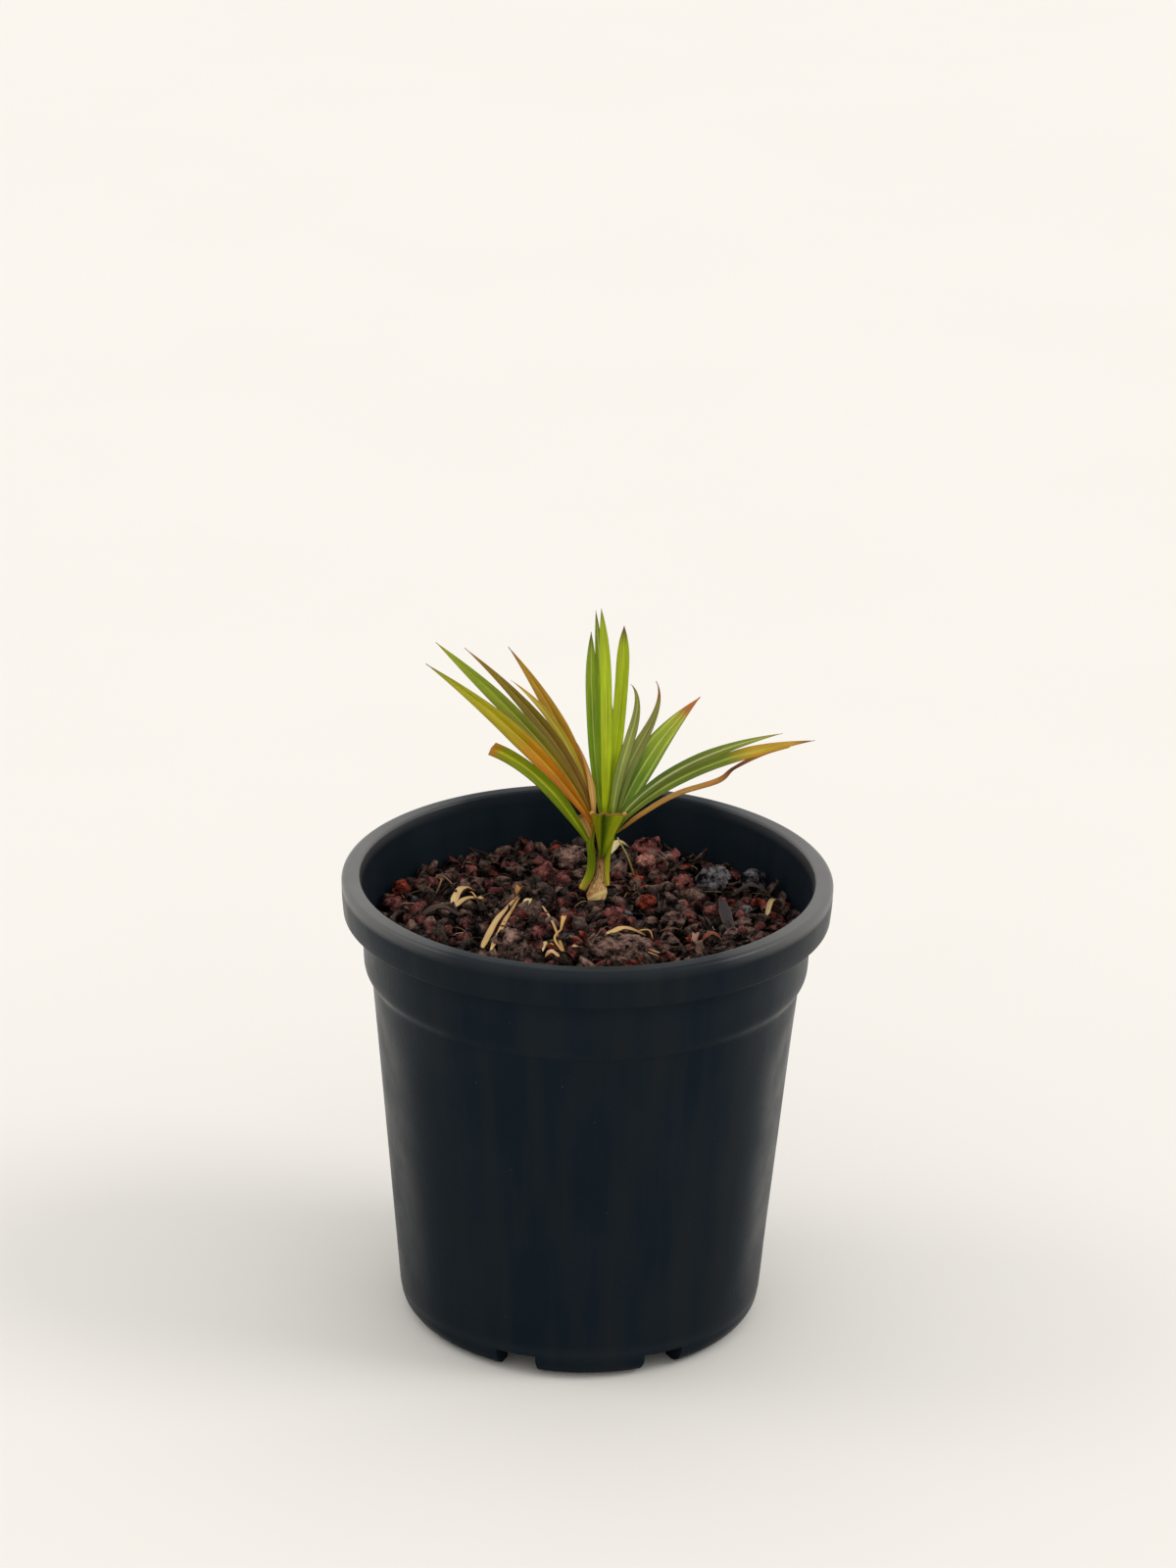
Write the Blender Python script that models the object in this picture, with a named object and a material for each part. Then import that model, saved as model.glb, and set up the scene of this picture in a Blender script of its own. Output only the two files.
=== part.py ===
"""Seedling fan palm with strap leaves, in a round nursery pot filled with bark and lava mix.

Everything is in metres with +Z up. The origin is on the pot's axis at the level of the
ground it stands on, and the plant's open side faces -Y.
"""

import math

import bmesh
import bpy
from mathutils import Matrix, Vector, noise
from mathutils.bvhtree import BVHTree

MM = 0.001
CLEARANCE = 0.3 * MM

# Pot
RIM_RADIUS = 100.0 * MM
RIM_TOP = 192.5 * MM
RIM_DEPTH = 15.5 * MM
RIM_LAND = 7.5 * MM
RIM_ROUND = 2.4 * MM
SKIRT_WALL = 1.8 * MM
WALL = 1.7 * MM
COLLAR_RADIUS = 91.5 * MM
COLLAR_FOOT_RADIUS = 90.9 * MM
COLLAR_FOOT = 158.0 * MM
SHOULDER_EDGE_RADIUS = 88.6 * MM
SHOULDER_EDGE = 149.6 * MM
WALL_TOP_RADIUS = 87.5 * MM
WALL_FOOT_RADIUS = 75.2 * MM
WALL_FOOT = 11.5 * MM
FOOT_LEDGE = 0.4 * MM
FOOT_ROUND = 9.8 * MM
FOOT_RING_WIDTH = 3.6 * MM
FLOOR_UNDERSIDE = 10.6 * MM
FLOOR_THICKNESS = 2.0 * MM
POT_STEPS = 60
FLUTES = 10
FLUTE_DEPTH = 0.5 * MM
FLUTE_TURN = math.radians(2.0)

# Drain notches in the foot, in pairs, each with a slot in the floor behind it
NOTCH_PAIRS = 3
NOTCH_HALF_ANGLE = math.radians(24.0)
NOTCH_TURN = math.radians(-86.0)
NOTCH_WIDTH = 17.0 * MM
NOTCH_HEIGHT = 9.6 * MM
NOTCH_INNER_RADIUS = 55.0 * MM
SLOT_WIDTH = 11.0 * MM
SLOT_LENGTH = 6.5 * MM

# Potting mix
MIX_LEVEL = 169.2 * MM
MIX_WAVE = 1.3 * MM
MIX_WAVE_LENGTH = 26.0 * MM
MIX_RINGS = 9

# Plant
FOOT_X, FOOT_Y, FOOT_Z = 3.2 * MM, 23.5 * MM, 169.6 * MM
STEM_HEIGHT = 21.0 * MM
LEAF_THICKNESS = 1.1 * MM
STRAP_STATIONS = 11
CUT_LEAF_TOP = 212.1 * MM

# Each strap leaf: heading and its change along the leaf, length, lean from upright at the
# base and at the tip, how late the lean comes, greatest width, turn about its own length,
# where the taper starts, how blunt the tip is, hook of the tip. Angles are in degrees,
# lengths in mm.
LEFT_STRAPS = {
    "lowest_cut": (216.1, 5.9, 75.5, 31.7, 60.9, 1.4, 5.9, -104, 1.01, 1.0, 0),
    "cut_stub": (210.0, 0.0, 14.2, 11.8, 31.7, 0.9, 4.6, -108, 1.01, 1.0, 0),
    "second": (201.0, -1.8, 107.3, 28.5, 51.8, 0.63, 7.4, -89, 0.5, 1.3, 0),
    "third": (182.9, -31.3, 101.4, 12.3, 59.1, 0.5, 6.2, -69, 0.6, 1.6, 0),
    "fourth": (163.2, -14.4, 92.6, 1.3, 62.0, 0.5, 5.8, -60, 0.5, 1.2, 0),
    "fifth": (140.1, -2.9, 83.4, 0.0, 54.9, 0.5, 6.6, -45, 0.5, 1.25, 0),
    "hidden": (150.2, 5.8, 70.9, 11.7, 63.1, 1.24, 4.4, -56, 0.6, 1.3, 0),
    "short_dry": (128.2, 2.4, 38.0, -4.9, 50.8, 1.14, 3.6, -34, 0.4, 0.9, 0),
}
CENTRE_STRAPS = {
    "left": (140.0, -6.3, 83.9, 17.8, 0.7, 0.5, 5.0, -40, 0.62, 1.9, 0),
    "tall_left": (115.1, -1.1, 91.7, 1.4, 14.6, 1.02, 3.4, -22, 0.7, 1.6, 0),
    "tall": (97.9, 8.1, 93.2, -5.1, 24.3, 1.36, 4.8, -11, 0.62, 1.9, 0),
    "right": (50.0, -0.9, 86.3, 13.0, -0.5, 1.12, 5.4, 34, 0.74, 3.0, 0),
    "behind": (82.9, 10.4, 66.7, 62.8, 52.7, 1.03, 4.6, 3, 0.6, 1.2, 0),
}
RIGHT_STRAPS = {
    "curled": (50.9, -9.2, 66.9, 1.0, 88.7, 1.51, 4.2, 36, 0.62, 1.5, -139),
    "curled_brown": (37.8, -12.5, 68.7, 7.0, 110.1, 1.7, 6.2, 46, 0.5, 1.0, -141),
    "broad": (21.7, -0.5, 68.4, 17.8, 50.6, 1.05, 10.4, 46, 0.5, 1.5, 0),
    "arching_upper": (-11.1, 13.5, 87.0, 9.7, 77.7, 0.5, 4.6, 66, 0.6, 1.3, 0),
    "arching_lower": (-13.8, 9.2, 98.2, 25.6, 80.3, 0.61, 4.8, 66, 0.72, 1.3, 0),
}

# Dry scraps on the mix: two or three places on the ground, width and thickness, in mm
SCRAPS = {
    "folded_straw": (((-42.1, -33.9), (-36.0, -6.0), (-27.9, 25.3)), 2.8, 0.9),
    "dry_twig": (((-18.9, 18.6), (-12.6, -10.0), (-8.6, -35.1)), 1.1, 1.0),
    "dry_leaf_front": (((7.5, -17.5), (15.0, -12.4), (24.2, -13.0)), 3.6, 0.9),
    "curved_straw": (((73.6, 8.0), (76.0, 19.0), (80.6, 24.0)), 2.0, 0.9),
    "dark_leaf": (((55.1, 29.6), (56.6, 8.0), (59.9, -14.9)), 4.4, 0.9),
    "dry_leaf_left": (((-55.0, 12.6), (-49.0, 19.4), (-41.9, 18.4)), 4.0, 0.9),
}
LEANING_STRAW_WIDTH = 1.1 * MM

# Lava rocks and bark lumps: place, size across, height share, turn
ROCKS = {
    "rock_back_right": (25.6, 76.5, 12.0, 0.85, 10),
    "rock_grey_right": (52.0, 44.0, 14.0, 0.8, 40),
    "rock_grey_far_right": (68.4, 45.0, 11.0, 0.8, 75),
    "rock_front_left": (-30.1, -26.0, 13.0, 0.8, 120),
    "rock_front": (13.4, -31.0, 22.0, 0.5, 5),
    "rock_mid_right": (35.4, 2.0, 10.0, 0.8, 60),
    "rock_red_near": (24.5, 20.5, 7.5, 0.9, 30),
    "rock_red_front": (10.5, 6.0, 8.0, 0.85, 15),
    "rock_back_left": (-8.0, 64.3, 14.0, 0.7, 80),
    "rock_red_left": (-18.0, 50.0, 8.5, 0.9, 45),
    "rock_red_right": (39.4, 41.0, 9.5, 0.85, 100),
    "rock_pink": (24.5, 62.0, 8.0, 0.9, 20),
    "rock_brown_front": (-21.0, -14.0, 8.0, 0.8, 65),
    "rock_red_wall": (-77.0, 31.0, 7.5, 0.9, 50),
}
ROCK_SINK = 0.28


def clear_scene():
    for thing in list(bpy.data.objects):
        bpy.data.objects.remove(thing, do_unlink=True)


def make_material(name, colour, roughness, metallic=0.0):
    material = bpy.data.materials.new(name)
    material.use_nodes = True
    shader = material.node_tree.nodes["Principled BSDF"]
    shader.inputs["Base Color"].default_value = (*colour, 1.0)
    shader.inputs["Roughness"].default_value = roughness
    shader.inputs["Metallic"].default_value = metallic
    material.diffuse_color = (*colour, 1.0)
    return material


def add_object(name, bm, material, smooth=True):
    bmesh.ops.recalc_face_normals(bm, faces=bm.faces)
    if bm.calc_volume(signed=True) < 0.0:
        bmesh.ops.reverse_faces(bm, faces=bm.faces)
    mesh = bpy.data.meshes.new(name)
    bm.to_mesh(mesh)
    bm.free()
    thing = bpy.data.objects.new(name, mesh)
    bpy.context.collection.objects.link(thing)
    if material:
        mesh.materials.append(material)
    if smooth:
        mesh.shade_smooth()
        mesh.set_sharp_from_angle(angle=math.radians(35.0))
    return thing


def combine(target, others, operation):
    """Cut the others from the target, or join them to it, and drop them."""
    group = bpy.data.collections.new(target.name + "_tools")
    for other in others:
        bpy.context.collection.objects.unlink(other)
        group.objects.link(other)
    bpy.context.scene.collection.children.link(group)
    modifier = target.modifiers.new("combine", "BOOLEAN")
    modifier.operation = operation
    modifier.solver = "EXACT"
    modifier.operand_type = "COLLECTION"
    modifier.collection = group
    modifier.use_self = operation == "UNION"
    graph = bpy.context.evaluated_depsgraph_get()
    result = bpy.data.meshes.new_from_object(target.evaluated_get(graph))
    target.modifiers.clear()
    target.data = result
    for other in others:
        bpy.data.objects.remove(other, do_unlink=True)
    bpy.data.collections.remove(group)
    return target


def arc(centre_r, centre_z, radius, start, end, steps):
    """Points on an arc in the radius-height plane, angles in degrees from +R."""
    turn = [math.radians(start + (end - start) * i / steps) for i in range(steps + 1)]
    return [(centre_r + radius * math.cos(a), centre_z + radius * math.sin(a)) for a in turn]


def spin_profile(profile, steps):
    """Turn a closed outline of (radius, height) points about the Z axis."""
    bm = bmesh.new()
    verts = [bm.verts.new((r, 0.0, z)) for r, z in profile]
    edges = [bm.edges.new(pair) for pair in zip(verts, verts[1:])]
    bmesh.ops.spin(bm, geom=verts + edges, cent=(0, 0, 0), axis=(0, 0, 1),
                   angle=math.tau, steps=steps)
    bmesh.ops.remove_doubles(bm, verts=bm.verts, dist=0.00001)
    return bm


def wall_radius(z):
    """Outer radius of the tapered wall at a height."""
    share = (z - WALL_FOOT) / (SHOULDER_EDGE - WALL_FOOT)
    return WALL_FOOT_RADIUS + (WALL_TOP_RADIUS - WALL_FOOT_RADIUS) * share


def pot_inner_line():
    """Inside of the pot from the mouth down to the middle of the floor."""
    floor = FLOOR_UNDERSIDE + FLOOR_THICKNESS
    corner = FOOT_ROUND - FLOOR_THICKNESS
    foot_r = wall_radius(floor + corner) - WALL - corner
    return [
        (RIM_RADIUS - RIM_LAND - 0.2 * MM, RIM_TOP - 1.6 * MM),
        (COLLAR_RADIUS - WALL, RIM_TOP - RIM_DEPTH),
        (COLLAR_FOOT_RADIUS - WALL, COLLAR_FOOT),
        (wall_radius(SHOULDER_EDGE) - WALL + 0.9 * MM, SHOULDER_EDGE + 2.0 * MM),
        (wall_radius(SHOULDER_EDGE) - WALL, SHOULDER_EDGE - 2.0 * MM),
        (wall_radius(90.0 * MM) - WALL, 90.0 * MM),
        *arc(foot_r, floor + corner, corner, 0, -90, 3),
        (0.0, floor),
    ]


def pot_profile():
    foot_r = WALL_FOOT_RADIUS - FOOT_LEDGE - FOOT_ROUND
    skirt_inner = RIM_RADIUS - SKIRT_WALL
    rim_foot = RIM_TOP - RIM_DEPTH
    return [
        (0.0, FLOOR_UNDERSIDE),
        (foot_r - FOOT_RING_WIDTH - 1.2 * MM, FLOOR_UNDERSIDE),
        (foot_r - FOOT_RING_WIDTH, FLOOR_UNDERSIDE - 1.2 * MM),
        (foot_r - FOOT_RING_WIDTH, 0.0),
        *arc(foot_r, FOOT_ROUND, FOOT_ROUND, -90, -8, 4),
        (WALL_FOOT_RADIUS, WALL_FOOT - 0.4 * MM),
        (wall_radius(22.0 * MM), 22.0 * MM),
        (wall_radius(30.0 * MM), 30.0 * MM),
        (wall_radius(128.0 * MM), 128.0 * MM),
        (wall_radius(138.0 * MM), 138.0 * MM),
        (WALL_TOP_RADIUS, SHOULDER_EDGE - 0.5 * MM),
        (SHOULDER_EDGE_RADIUS, SHOULDER_EDGE),
        (SHOULDER_EDGE_RADIUS + 1.3 * MM, SHOULDER_EDGE + 2.6 * MM),
        (COLLAR_FOOT_RADIUS - 0.3 * MM, SHOULDER_EDGE + 5.4 * MM),
        (COLLAR_FOOT_RADIUS, COLLAR_FOOT),
        (COLLAR_RADIUS, rim_foot + 3.0 * MM),
        (COLLAR_RADIUS + 0.6 * MM, RIM_TOP - 3.2 * MM),
        (skirt_inner - 1.2 * MM, RIM_TOP - 3.2 * MM),
        (skirt_inner - 0.5 * MM, rim_foot),
        (RIM_RADIUS - 0.9 * MM, rim_foot - 0.1 * MM),
        (RIM_RADIUS - 0.6 * MM, rim_foot + 0.8 * MM),
        (RIM_RADIUS, RIM_TOP - RIM_ROUND - 1.6 * MM),
        *arc(RIM_RADIUS - RIM_ROUND, RIM_TOP - RIM_ROUND, RIM_ROUND, 5, 90, 3),
        (RIM_RADIUS - RIM_LAND + 1.0 * MM, RIM_TOP),
        (RIM_RADIUS - RIM_LAND + 0.15 * MM, RIM_TOP - 0.5 * MM),
        *pot_inner_line(),
    ]


def flute_walls(bm):
    """Press shallow upright flutes into the outside of the tapered wall."""
    for vert in bm.verts:
        radius = math.hypot(vert.co.x, vert.co.y)
        on_wall = 26.0 * MM < vert.co.z < 132.0 * MM
        if not on_wall or radius < wall_radius(vert.co.z) - 0.5 * WALL:
            continue
        turn = math.atan2(vert.co.y, vert.co.x) - FLUTE_TURN
        dent = FLUTE_DEPTH * (0.5 - 0.5 * math.cos(FLUTES * turn))
        vert.co.x *= (radius - dent) / radius
        vert.co.y *= (radius - dent) / radius


def radial_box(name, heading, inner, outer, width, low, high):
    """A cutter block that lies along a heading from the Z axis."""
    bm = bmesh.new()
    bmesh.ops.create_cube(bm, size=1.0)
    for vert in bm.verts:
        along = inner + (outer - inner) * (vert.co.x + 0.5)
        across = width * vert.co.y
        x = along * math.cos(heading) - across * math.sin(heading)
        y = along * math.sin(heading) + across * math.cos(heading)
        vert.co = (x, y, low + (high - low) * (vert.co.z + 0.5))
    return add_object(name, bm, None, smooth=False)


def build_pot(material):
    bm = spin_profile(pot_profile(), POT_STEPS)
    flute_walls(bm)
    pot = add_object("pot", bm, material)
    cutters = []
    for pair in range(NOTCH_PAIRS):
        for side in (-1, 1):
            heading = NOTCH_TURN + math.tau * pair / NOTCH_PAIRS + side * NOTCH_HALF_ANGLE
            cutters.append(radial_box("notch", heading, NOTCH_INNER_RADIUS, RIM_RADIUS,
                                      NOTCH_WIDTH, -2.0 * MM, NOTCH_HEIGHT))
            cutters.append(radial_box("slot", heading, NOTCH_INNER_RADIUS - SLOT_LENGTH,
                                      NOTCH_INNER_RADIUS, SLOT_WIDTH,
                                      FLOOR_UNDERSIDE - 2.0 * MM,
                                      FLOOR_UNDERSIDE + FLOOR_THICKNESS + 2.0 * MM))
    combine(pot, cutters, "DIFFERENCE")
    pot.data.shade_smooth()
    pot.data.set_sharp_from_angle(angle=math.radians(35.0))
    return pot


def mix_height(x, y):
    """Height of the potting mix before any rock is pressed into it."""
    wave = noise.noise(Vector((x / MIX_WAVE_LENGTH, y / MIX_WAVE_LENGTH, 3.1)))
    return MIX_LEVEL + MIX_WAVE * wave


def build_mix(material):
    """Fill of the pot: follows the inner wall at a small gap, with an uneven top."""
    line = [(max(r - CLEARANCE, 0.0), z + CLEARANCE) for r, z in pot_inner_line()]
    edge_r = COLLAR_RADIUS - WALL - 1.2 * MM
    side = [(r, z) for r, z in reversed(line) if z < COLLAR_FOOT + MM]
    top = [(edge_r * (1.0 - i / MIX_RINGS), MIX_LEVEL) for i in range(MIX_RINGS + 1)]
    bm = spin_profile(side + top, POT_STEPS)
    for vert in bm.verts:
        if vert.co.z > MIX_LEVEL - MM:
            vert.co.z = mix_height(vert.co.x, vert.co.y)
    return add_object("potting_mix", bm, material)


def surface_finder(thing):
    """Return a function that gives the height of an object's top at a point."""
    tree = BVHTree.FromPolygons([v.co for v in thing.data.vertices],
                                [list(p.vertices) for p in thing.data.polygons])

    def height(x, y):
        hit = tree.ray_cast(Vector((x, y, 1.0)), Vector((0, 0, -1)))[0]
        return hit.z if hit else mix_height(x, y)

    return height


def loft(rings):
    """Skin a run of equal rings and close both ends."""
    bm = bmesh.new()
    loops = [[bm.verts.new(point) for point in ring] for ring in rings]
    count = len(rings[0])
    for low, high in zip(loops, loops[1:]):
        for i in range(count):
            j = (i + 1) % count
            bm.faces.new((low[i], low[j], high[j], high[i]))
    bm.faces.new(loops[0])
    bm.faces.new(loops[-1])
    return bm


def frame_along(path, reference):
    """Tangent, side and face directions at each point of a path."""
    frames = []
    for i, point in enumerate(path):
        ahead = path[min(i + 1, len(path) - 1)]
        behind = path[max(i - 1, 0)]
        tangent = (ahead - behind).normalized()
        side = reference.cross(tangent).normalized()
        frames.append((point, tangent, side, tangent.cross(side).normalized()))
    return frames


def smooth_path(points, steps):
    """Points along a smooth curve through the given ones, which are in metres."""
    pts = [Vector(p) for p in points]
    pts = [2 * pts[0] - pts[1], *pts, 2 * pts[-1] - pts[-2]]
    path = []
    for a, b, c, d in zip(pts, pts[1:], pts[2:], pts[3:]):
        for i in range(steps):
            t = i / steps
            path.append(0.5 * (2 * b + (c - a) * t + (2 * a - 5 * b + 4 * c - d) * t * t
                               + (3 * b - a - 3 * c + d) * t ** 3))
    path.append(pts[-2])
    return path


def tube(path, radii, sides, reference=Vector((0, 1, 0))):
    """Oval tube along a path; each radius is a pair, across and along the reference."""
    rings = []
    last = len(path) - 1
    for i, (point, _, side, face) in enumerate(frame_along(path, reference)):
        share = i / last * (len(radii) - 1)
        k = min(int(share), len(radii) - 2)
        mix = share - k
        across = radii[k][0] + (radii[k + 1][0] - radii[k][0]) * mix
        deep = radii[k][1] + (radii[k + 1][1] - radii[k][1]) * mix
        ring = []
        for n in range(sides):
            a = math.tau * n / sides
            ring.append(point + side * across * math.cos(a) + face * deep * math.sin(a))
        rings.append(ring)
    return loft(rings)


def strap_path(start, heading, sweep, length, lean_base, lean_tip, delay, hook):
    """Walk along a strap leaf whose lean from upright grows from base to tip."""
    count = 4 * (STRAP_STATIONS - 1)
    point = Vector(start)
    points = [point.copy()]
    for i in range(count):
        s = (i + 0.5) / count
        lean = math.radians(lean_base + (lean_tip - lean_base) * s ** delay + hook * s ** 4)
        turn = math.radians(heading + sweep * s)
        step = Vector((math.sin(lean) * math.cos(turn), math.sin(lean) * math.sin(turn),
                       math.cos(lean)))
        point = point + step * length / count
        points.append(point.copy())
    return points[::4]


def strap_width(s, widest, taper_start, bluntness):
    """Width of a strap leaf: narrow at the foot, widest in the middle, pointed at the tip."""
    foot = 0.34 + 0.66 * math.sin(0.5 * math.pi * min(s / 0.34, 1.0))
    tip = 1.0
    if s > taper_start:
        tip = 1.0 - ((s - taper_start) / (1.0 - taper_start)) ** bluntness
    return widest * foot * max(tip, 0.12)


def strap(name, start, values):
    """A strap leaf: a thin blade folded along its rib."""
    heading, sweep, length, lean_base, lean_tip, delay, widest, roll, taper, blunt, hook = values
    path = strap_path(start, heading, sweep, length * MM, lean_base, lean_tip, delay, hook)
    rings = []
    last = len(path) - 1
    for i, point in enumerate(path):
        s = i / last
        turn = math.radians(heading + sweep * s)
        level = Vector((-math.sin(turn), math.cos(turn), 0.0))
        tangent = (path[min(i + 1, last)] - path[max(i - 1, 0)]).normalized()
        upper = tangent.cross(level).normalized()
        level = upper.cross(tangent).normalized()
        angle = math.radians(roll)
        side = level * math.cos(angle) + upper * math.sin(angle)
        face = tangent.cross(side)
        half = 0.5 * strap_width(s, widest, taper, blunt) * MM
        fold = 0.28 * half
        thick = 0.5 * LEAF_THICKNESS * (1.0 - 0.35 * s)
        outline = [(-half, fold - thick), (0.0, -thick), (half, fold - thick),
                   (half, fold + thick), (0.0, thick), (-half, fold + thick)]
        rings.append([point + side * a + face * b for a, b in outline])
    return add_object(name, loft(rings), None, smooth=False)


def fuse(name, pieces, material):
    """Join overlapping pieces into one closed blade and give it its name and colour."""
    first = pieces[0]
    combine(first, pieces[1:], "UNION")
    first.name = name
    first.data.name = name
    first.data.materials.clear()
    first.data.materials.append(material)
    first.data.shade_smooth()
    first.data.set_sharp_from_angle(angle=math.radians(35.0))
    return first


def plant_point(x, y, z):
    """A point given in mm from the plant's foot, in the part's frame."""
    return Vector((FOOT_X + x * MM, FOOT_Y + y * MM, FOOT_Z + z * MM))


def stem_mesh(grow=0.0):
    """Bulb-shaped stem base with a flat foot, leaning and tapering to its tip."""
    levels = [(0.0, 2.2), (1.0, 3.4), (3.0, 4.3), (5.2, 4.0), (7.4, 2.9), (10.0, 2.1),
              (14.0, 1.6), (STEM_HEIGHT / MM, 1.4)]
    rings = []
    for height, radius in levels:
        centre = plant_point(0.1 + 1.7 * min(height / 12.0, 1.0) + 0.02 * height, 0.0, height)
        centre.z -= grow
        ring = []
        for n in range(14):
            a = math.tau * n / 14
            reach = radius * MM + grow
            ring.append(centre + Vector((reach * math.cos(a), 1.1 * reach * math.sin(a), 0.0)))
        rings.append(ring)
    return loft(rings)


def build_left_frond(material):
    """Left leaf: sheath beside the stem, then a fan of straps, the lowest one cut short."""
    path = [plant_point(-5.4, -1.4, 6.8), plant_point(-2.4, -0.8, 13.0),
            plant_point(-1.6, -0.8, 20.0), plant_point(-2.4, -1.4, 28.0),
            plant_point(-1.4, -0.6, 36.0)]
    radii = [(1.5, 1.6), (1.3, 2.0), (1.2, 2.1), (1.5, 1.5), (1.5, 1.3)]
    sheath = tube(smooth_path(path, 3), [(a * MM, b * MM) for a, b in radii], 8)
    pieces = [add_object("sheath", sheath, None)]
    for key, values in LEFT_STRAPS.items():
        low = key in ("lowest_cut", "cut_stub")
        start = plant_point(-2.9, -2.0, 27.6) if low else plant_point(-1.4, -0.5, 34.9)
        pieces.append(strap(key, start, values))
    return fuse("frond_left", pieces, material)


def build_right_frond(material):
    """Right leaf: sheath beside the stem, then straps that arch out and back."""
    path = [plant_point(4.9, -0.4, 8.4), plant_point(4.6, -0.4, 14.0), plant_point(4.9, -0.6, 22.0),
            plant_point(6.5, -1.0, 31.6)]
    radii = [(0.8, 1.3), (0.8, 1.8), (0.9, 1.7), (1.3, 1.2)]
    sheath = tube(smooth_path(path, 3), [(a * MM, b * MM) for a, b in radii], 8)
    pieces = [add_object("sheath", sheath, None)]
    start = plant_point(6.4, -1.0, 30.9)
    for key, values in RIGHT_STRAPS.items():
        pieces.append(strap(key, start, values))
    pieces.append(build_dry_edge())
    return fuse("frond_right", pieces, material)


def build_dry_edge():
    """Dried margin of the arching strap, hanging free below it and joined at both ends."""
    path = [plant_point(11.0, -1.9, 34.6), plant_point(18.5, -3.3, 41.6),
            plant_point(32.2, -6.0, 51.6), plant_point(49.0, -8.8, 59.0),
            plant_point(55.4, -9.8, 65.0), plant_point(67.0, -10.6, 71.9),
            plant_point(77.5, -11.0, 75.6)]
    radii = [(0.8, 0.5), (1.1, 0.5), (1.2, 0.5), (1.2, 0.5), (0.9, 0.5), (1.0, 0.5), (0.8, 0.5)]
    edge = tube(smooth_path(path, 3), [(a * MM, b * MM) for a, b in radii], 6)
    return add_object("dry_edge", edge, None)


def build_centre_frond(material):
    """Newest leaf: a short stalk and a bundle of upright straps."""
    path = [plant_point(2.2, 1.2, STEM_HEIGHT / MM + 0.4), plant_point(2.7, 1.6, 27.0),
            plant_point(3.2, 1.8, 34.5)]
    radii = [(1.1 * MM, 1.1 * MM), (1.5 * MM, 1.4 * MM), (2.0 * MM, 1.6 * MM)]
    stalk = tube(smooth_path(path, 3), radii, 8)
    pieces = [add_object("stalk", stalk, None)]
    start = plant_point(3.2, 1.8, 32.9)
    for key, values in CENTRE_STRAPS.items():
        pieces.append(strap(key, start, values))
    return fuse("frond_centre", pieces, material)


def build_cut_frond(material):
    """Front leaf, cut off level: a stalk that opens into a pleated funnel."""
    top = CUT_LEAF_TOP - FOOT_Z
    low = STEM_HEIGHT + 0.4 * MM
    pleats = [(-5.6, -0.4), (-2.4, -2.6), (-0.4, -0.2), (2.2, -2.6), (4.6, -0.8), (8.6, -1.4)]
    rings = []
    for i in range(7):
        s = i / 6
        spread = 0.16 + 0.84 * s ** 1.25
        front = plant_point(2.2 + 1.1 * s, -1.8 - 2.9 * s ** 0.8, 0.0)
        front.z += low + (top - low) * s
        half = (0.9 - 0.35 * s) * MM
        line = [front + Vector((x * spread, y * spread, 0.0)) * MM for x, y in pleats]
        depth = Vector((0.0, half, 0.0))
        rings.append([p - depth for p in line] + [p + depth for p in reversed(line)])
    return add_object("frond_cut", loft(rings), material)


def rock_mesh(size, height_share, turn, seed, grow=0.0):
    """Lump of lava: a faceted ball pushed in and out, optionally grown all round."""
    bm = bmesh.new()
    bmesh.ops.create_icosphere(bm, subdivisions=2, radius=0.5)
    spin = math.radians(turn)
    for vert in bm.verts:
        bump = noise.noise(vert.co * 3.1 + Vector((seed * 7.3, seed * 1.7, 0.0)))
        co = vert.co * (1.0 + 0.32 * bump) * size
        co = Vector((co.x * 1.08, co.y * 0.92, co.z * height_share))
        co += vert.co.normalized() * grow
        vert.co = (co.x * math.cos(spin) - co.y * math.sin(spin),
                   co.x * math.sin(spin) + co.y * math.cos(spin), co.z)
    return bm


def build_rocks(height, material):
    """Rocks half pressed into the mix; returns the cutters of their pockets."""
    pockets = []
    for seed, (name, values) in enumerate(ROCKS.items()):
        x, y, size, share, turn = values
        x, y, size = x * MM, y * MM, size * MM
        centre = Vector((x, y, height(x, y) + size * share * ROCK_SINK))
        rock = add_object(name, rock_mesh(size, share, turn, seed), material)
        rock.data.transform(Matrix.Translation(centre))
        grown = rock_mesh(size, share, turn, seed, grow=1.4 * CLEARANCE)
        pocket = add_object(name + "_pocket", grown, None, smooth=False)
        pocket.data.transform(Matrix.Translation(centre))
        pockets.append(pocket)
    return pockets


def build_scraps(height, material):
    """Dry leaf scraps and straws that lie on the mix."""
    for name, (places, width, thick) in SCRAPS.items():
        ground = smooth_path([(x * MM, y * MM, 0.0) for x, y in places], 4)
        path = []
        for point in ground:
            near = [height(point.x + dx * MM, point.y + dy * MM)
                    for dx, dy in ((0, 0), (1.5, 0), (-1.5, 0), (0, 1.5), (0, -1.5))]
            path.append(Vector((point.x, point.y, max(near) + 0.5 * thick * MM + CLEARANCE)))
        ends = 0.35 * width * MM
        middle = 0.5 * width * MM
        deep = 0.5 * thick * MM
        scrap = tube(path, [(ends, deep), (middle, deep), (ends, deep)], 6, Vector((0, 0, 1)))
        add_object(name, scrap, material)


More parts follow.
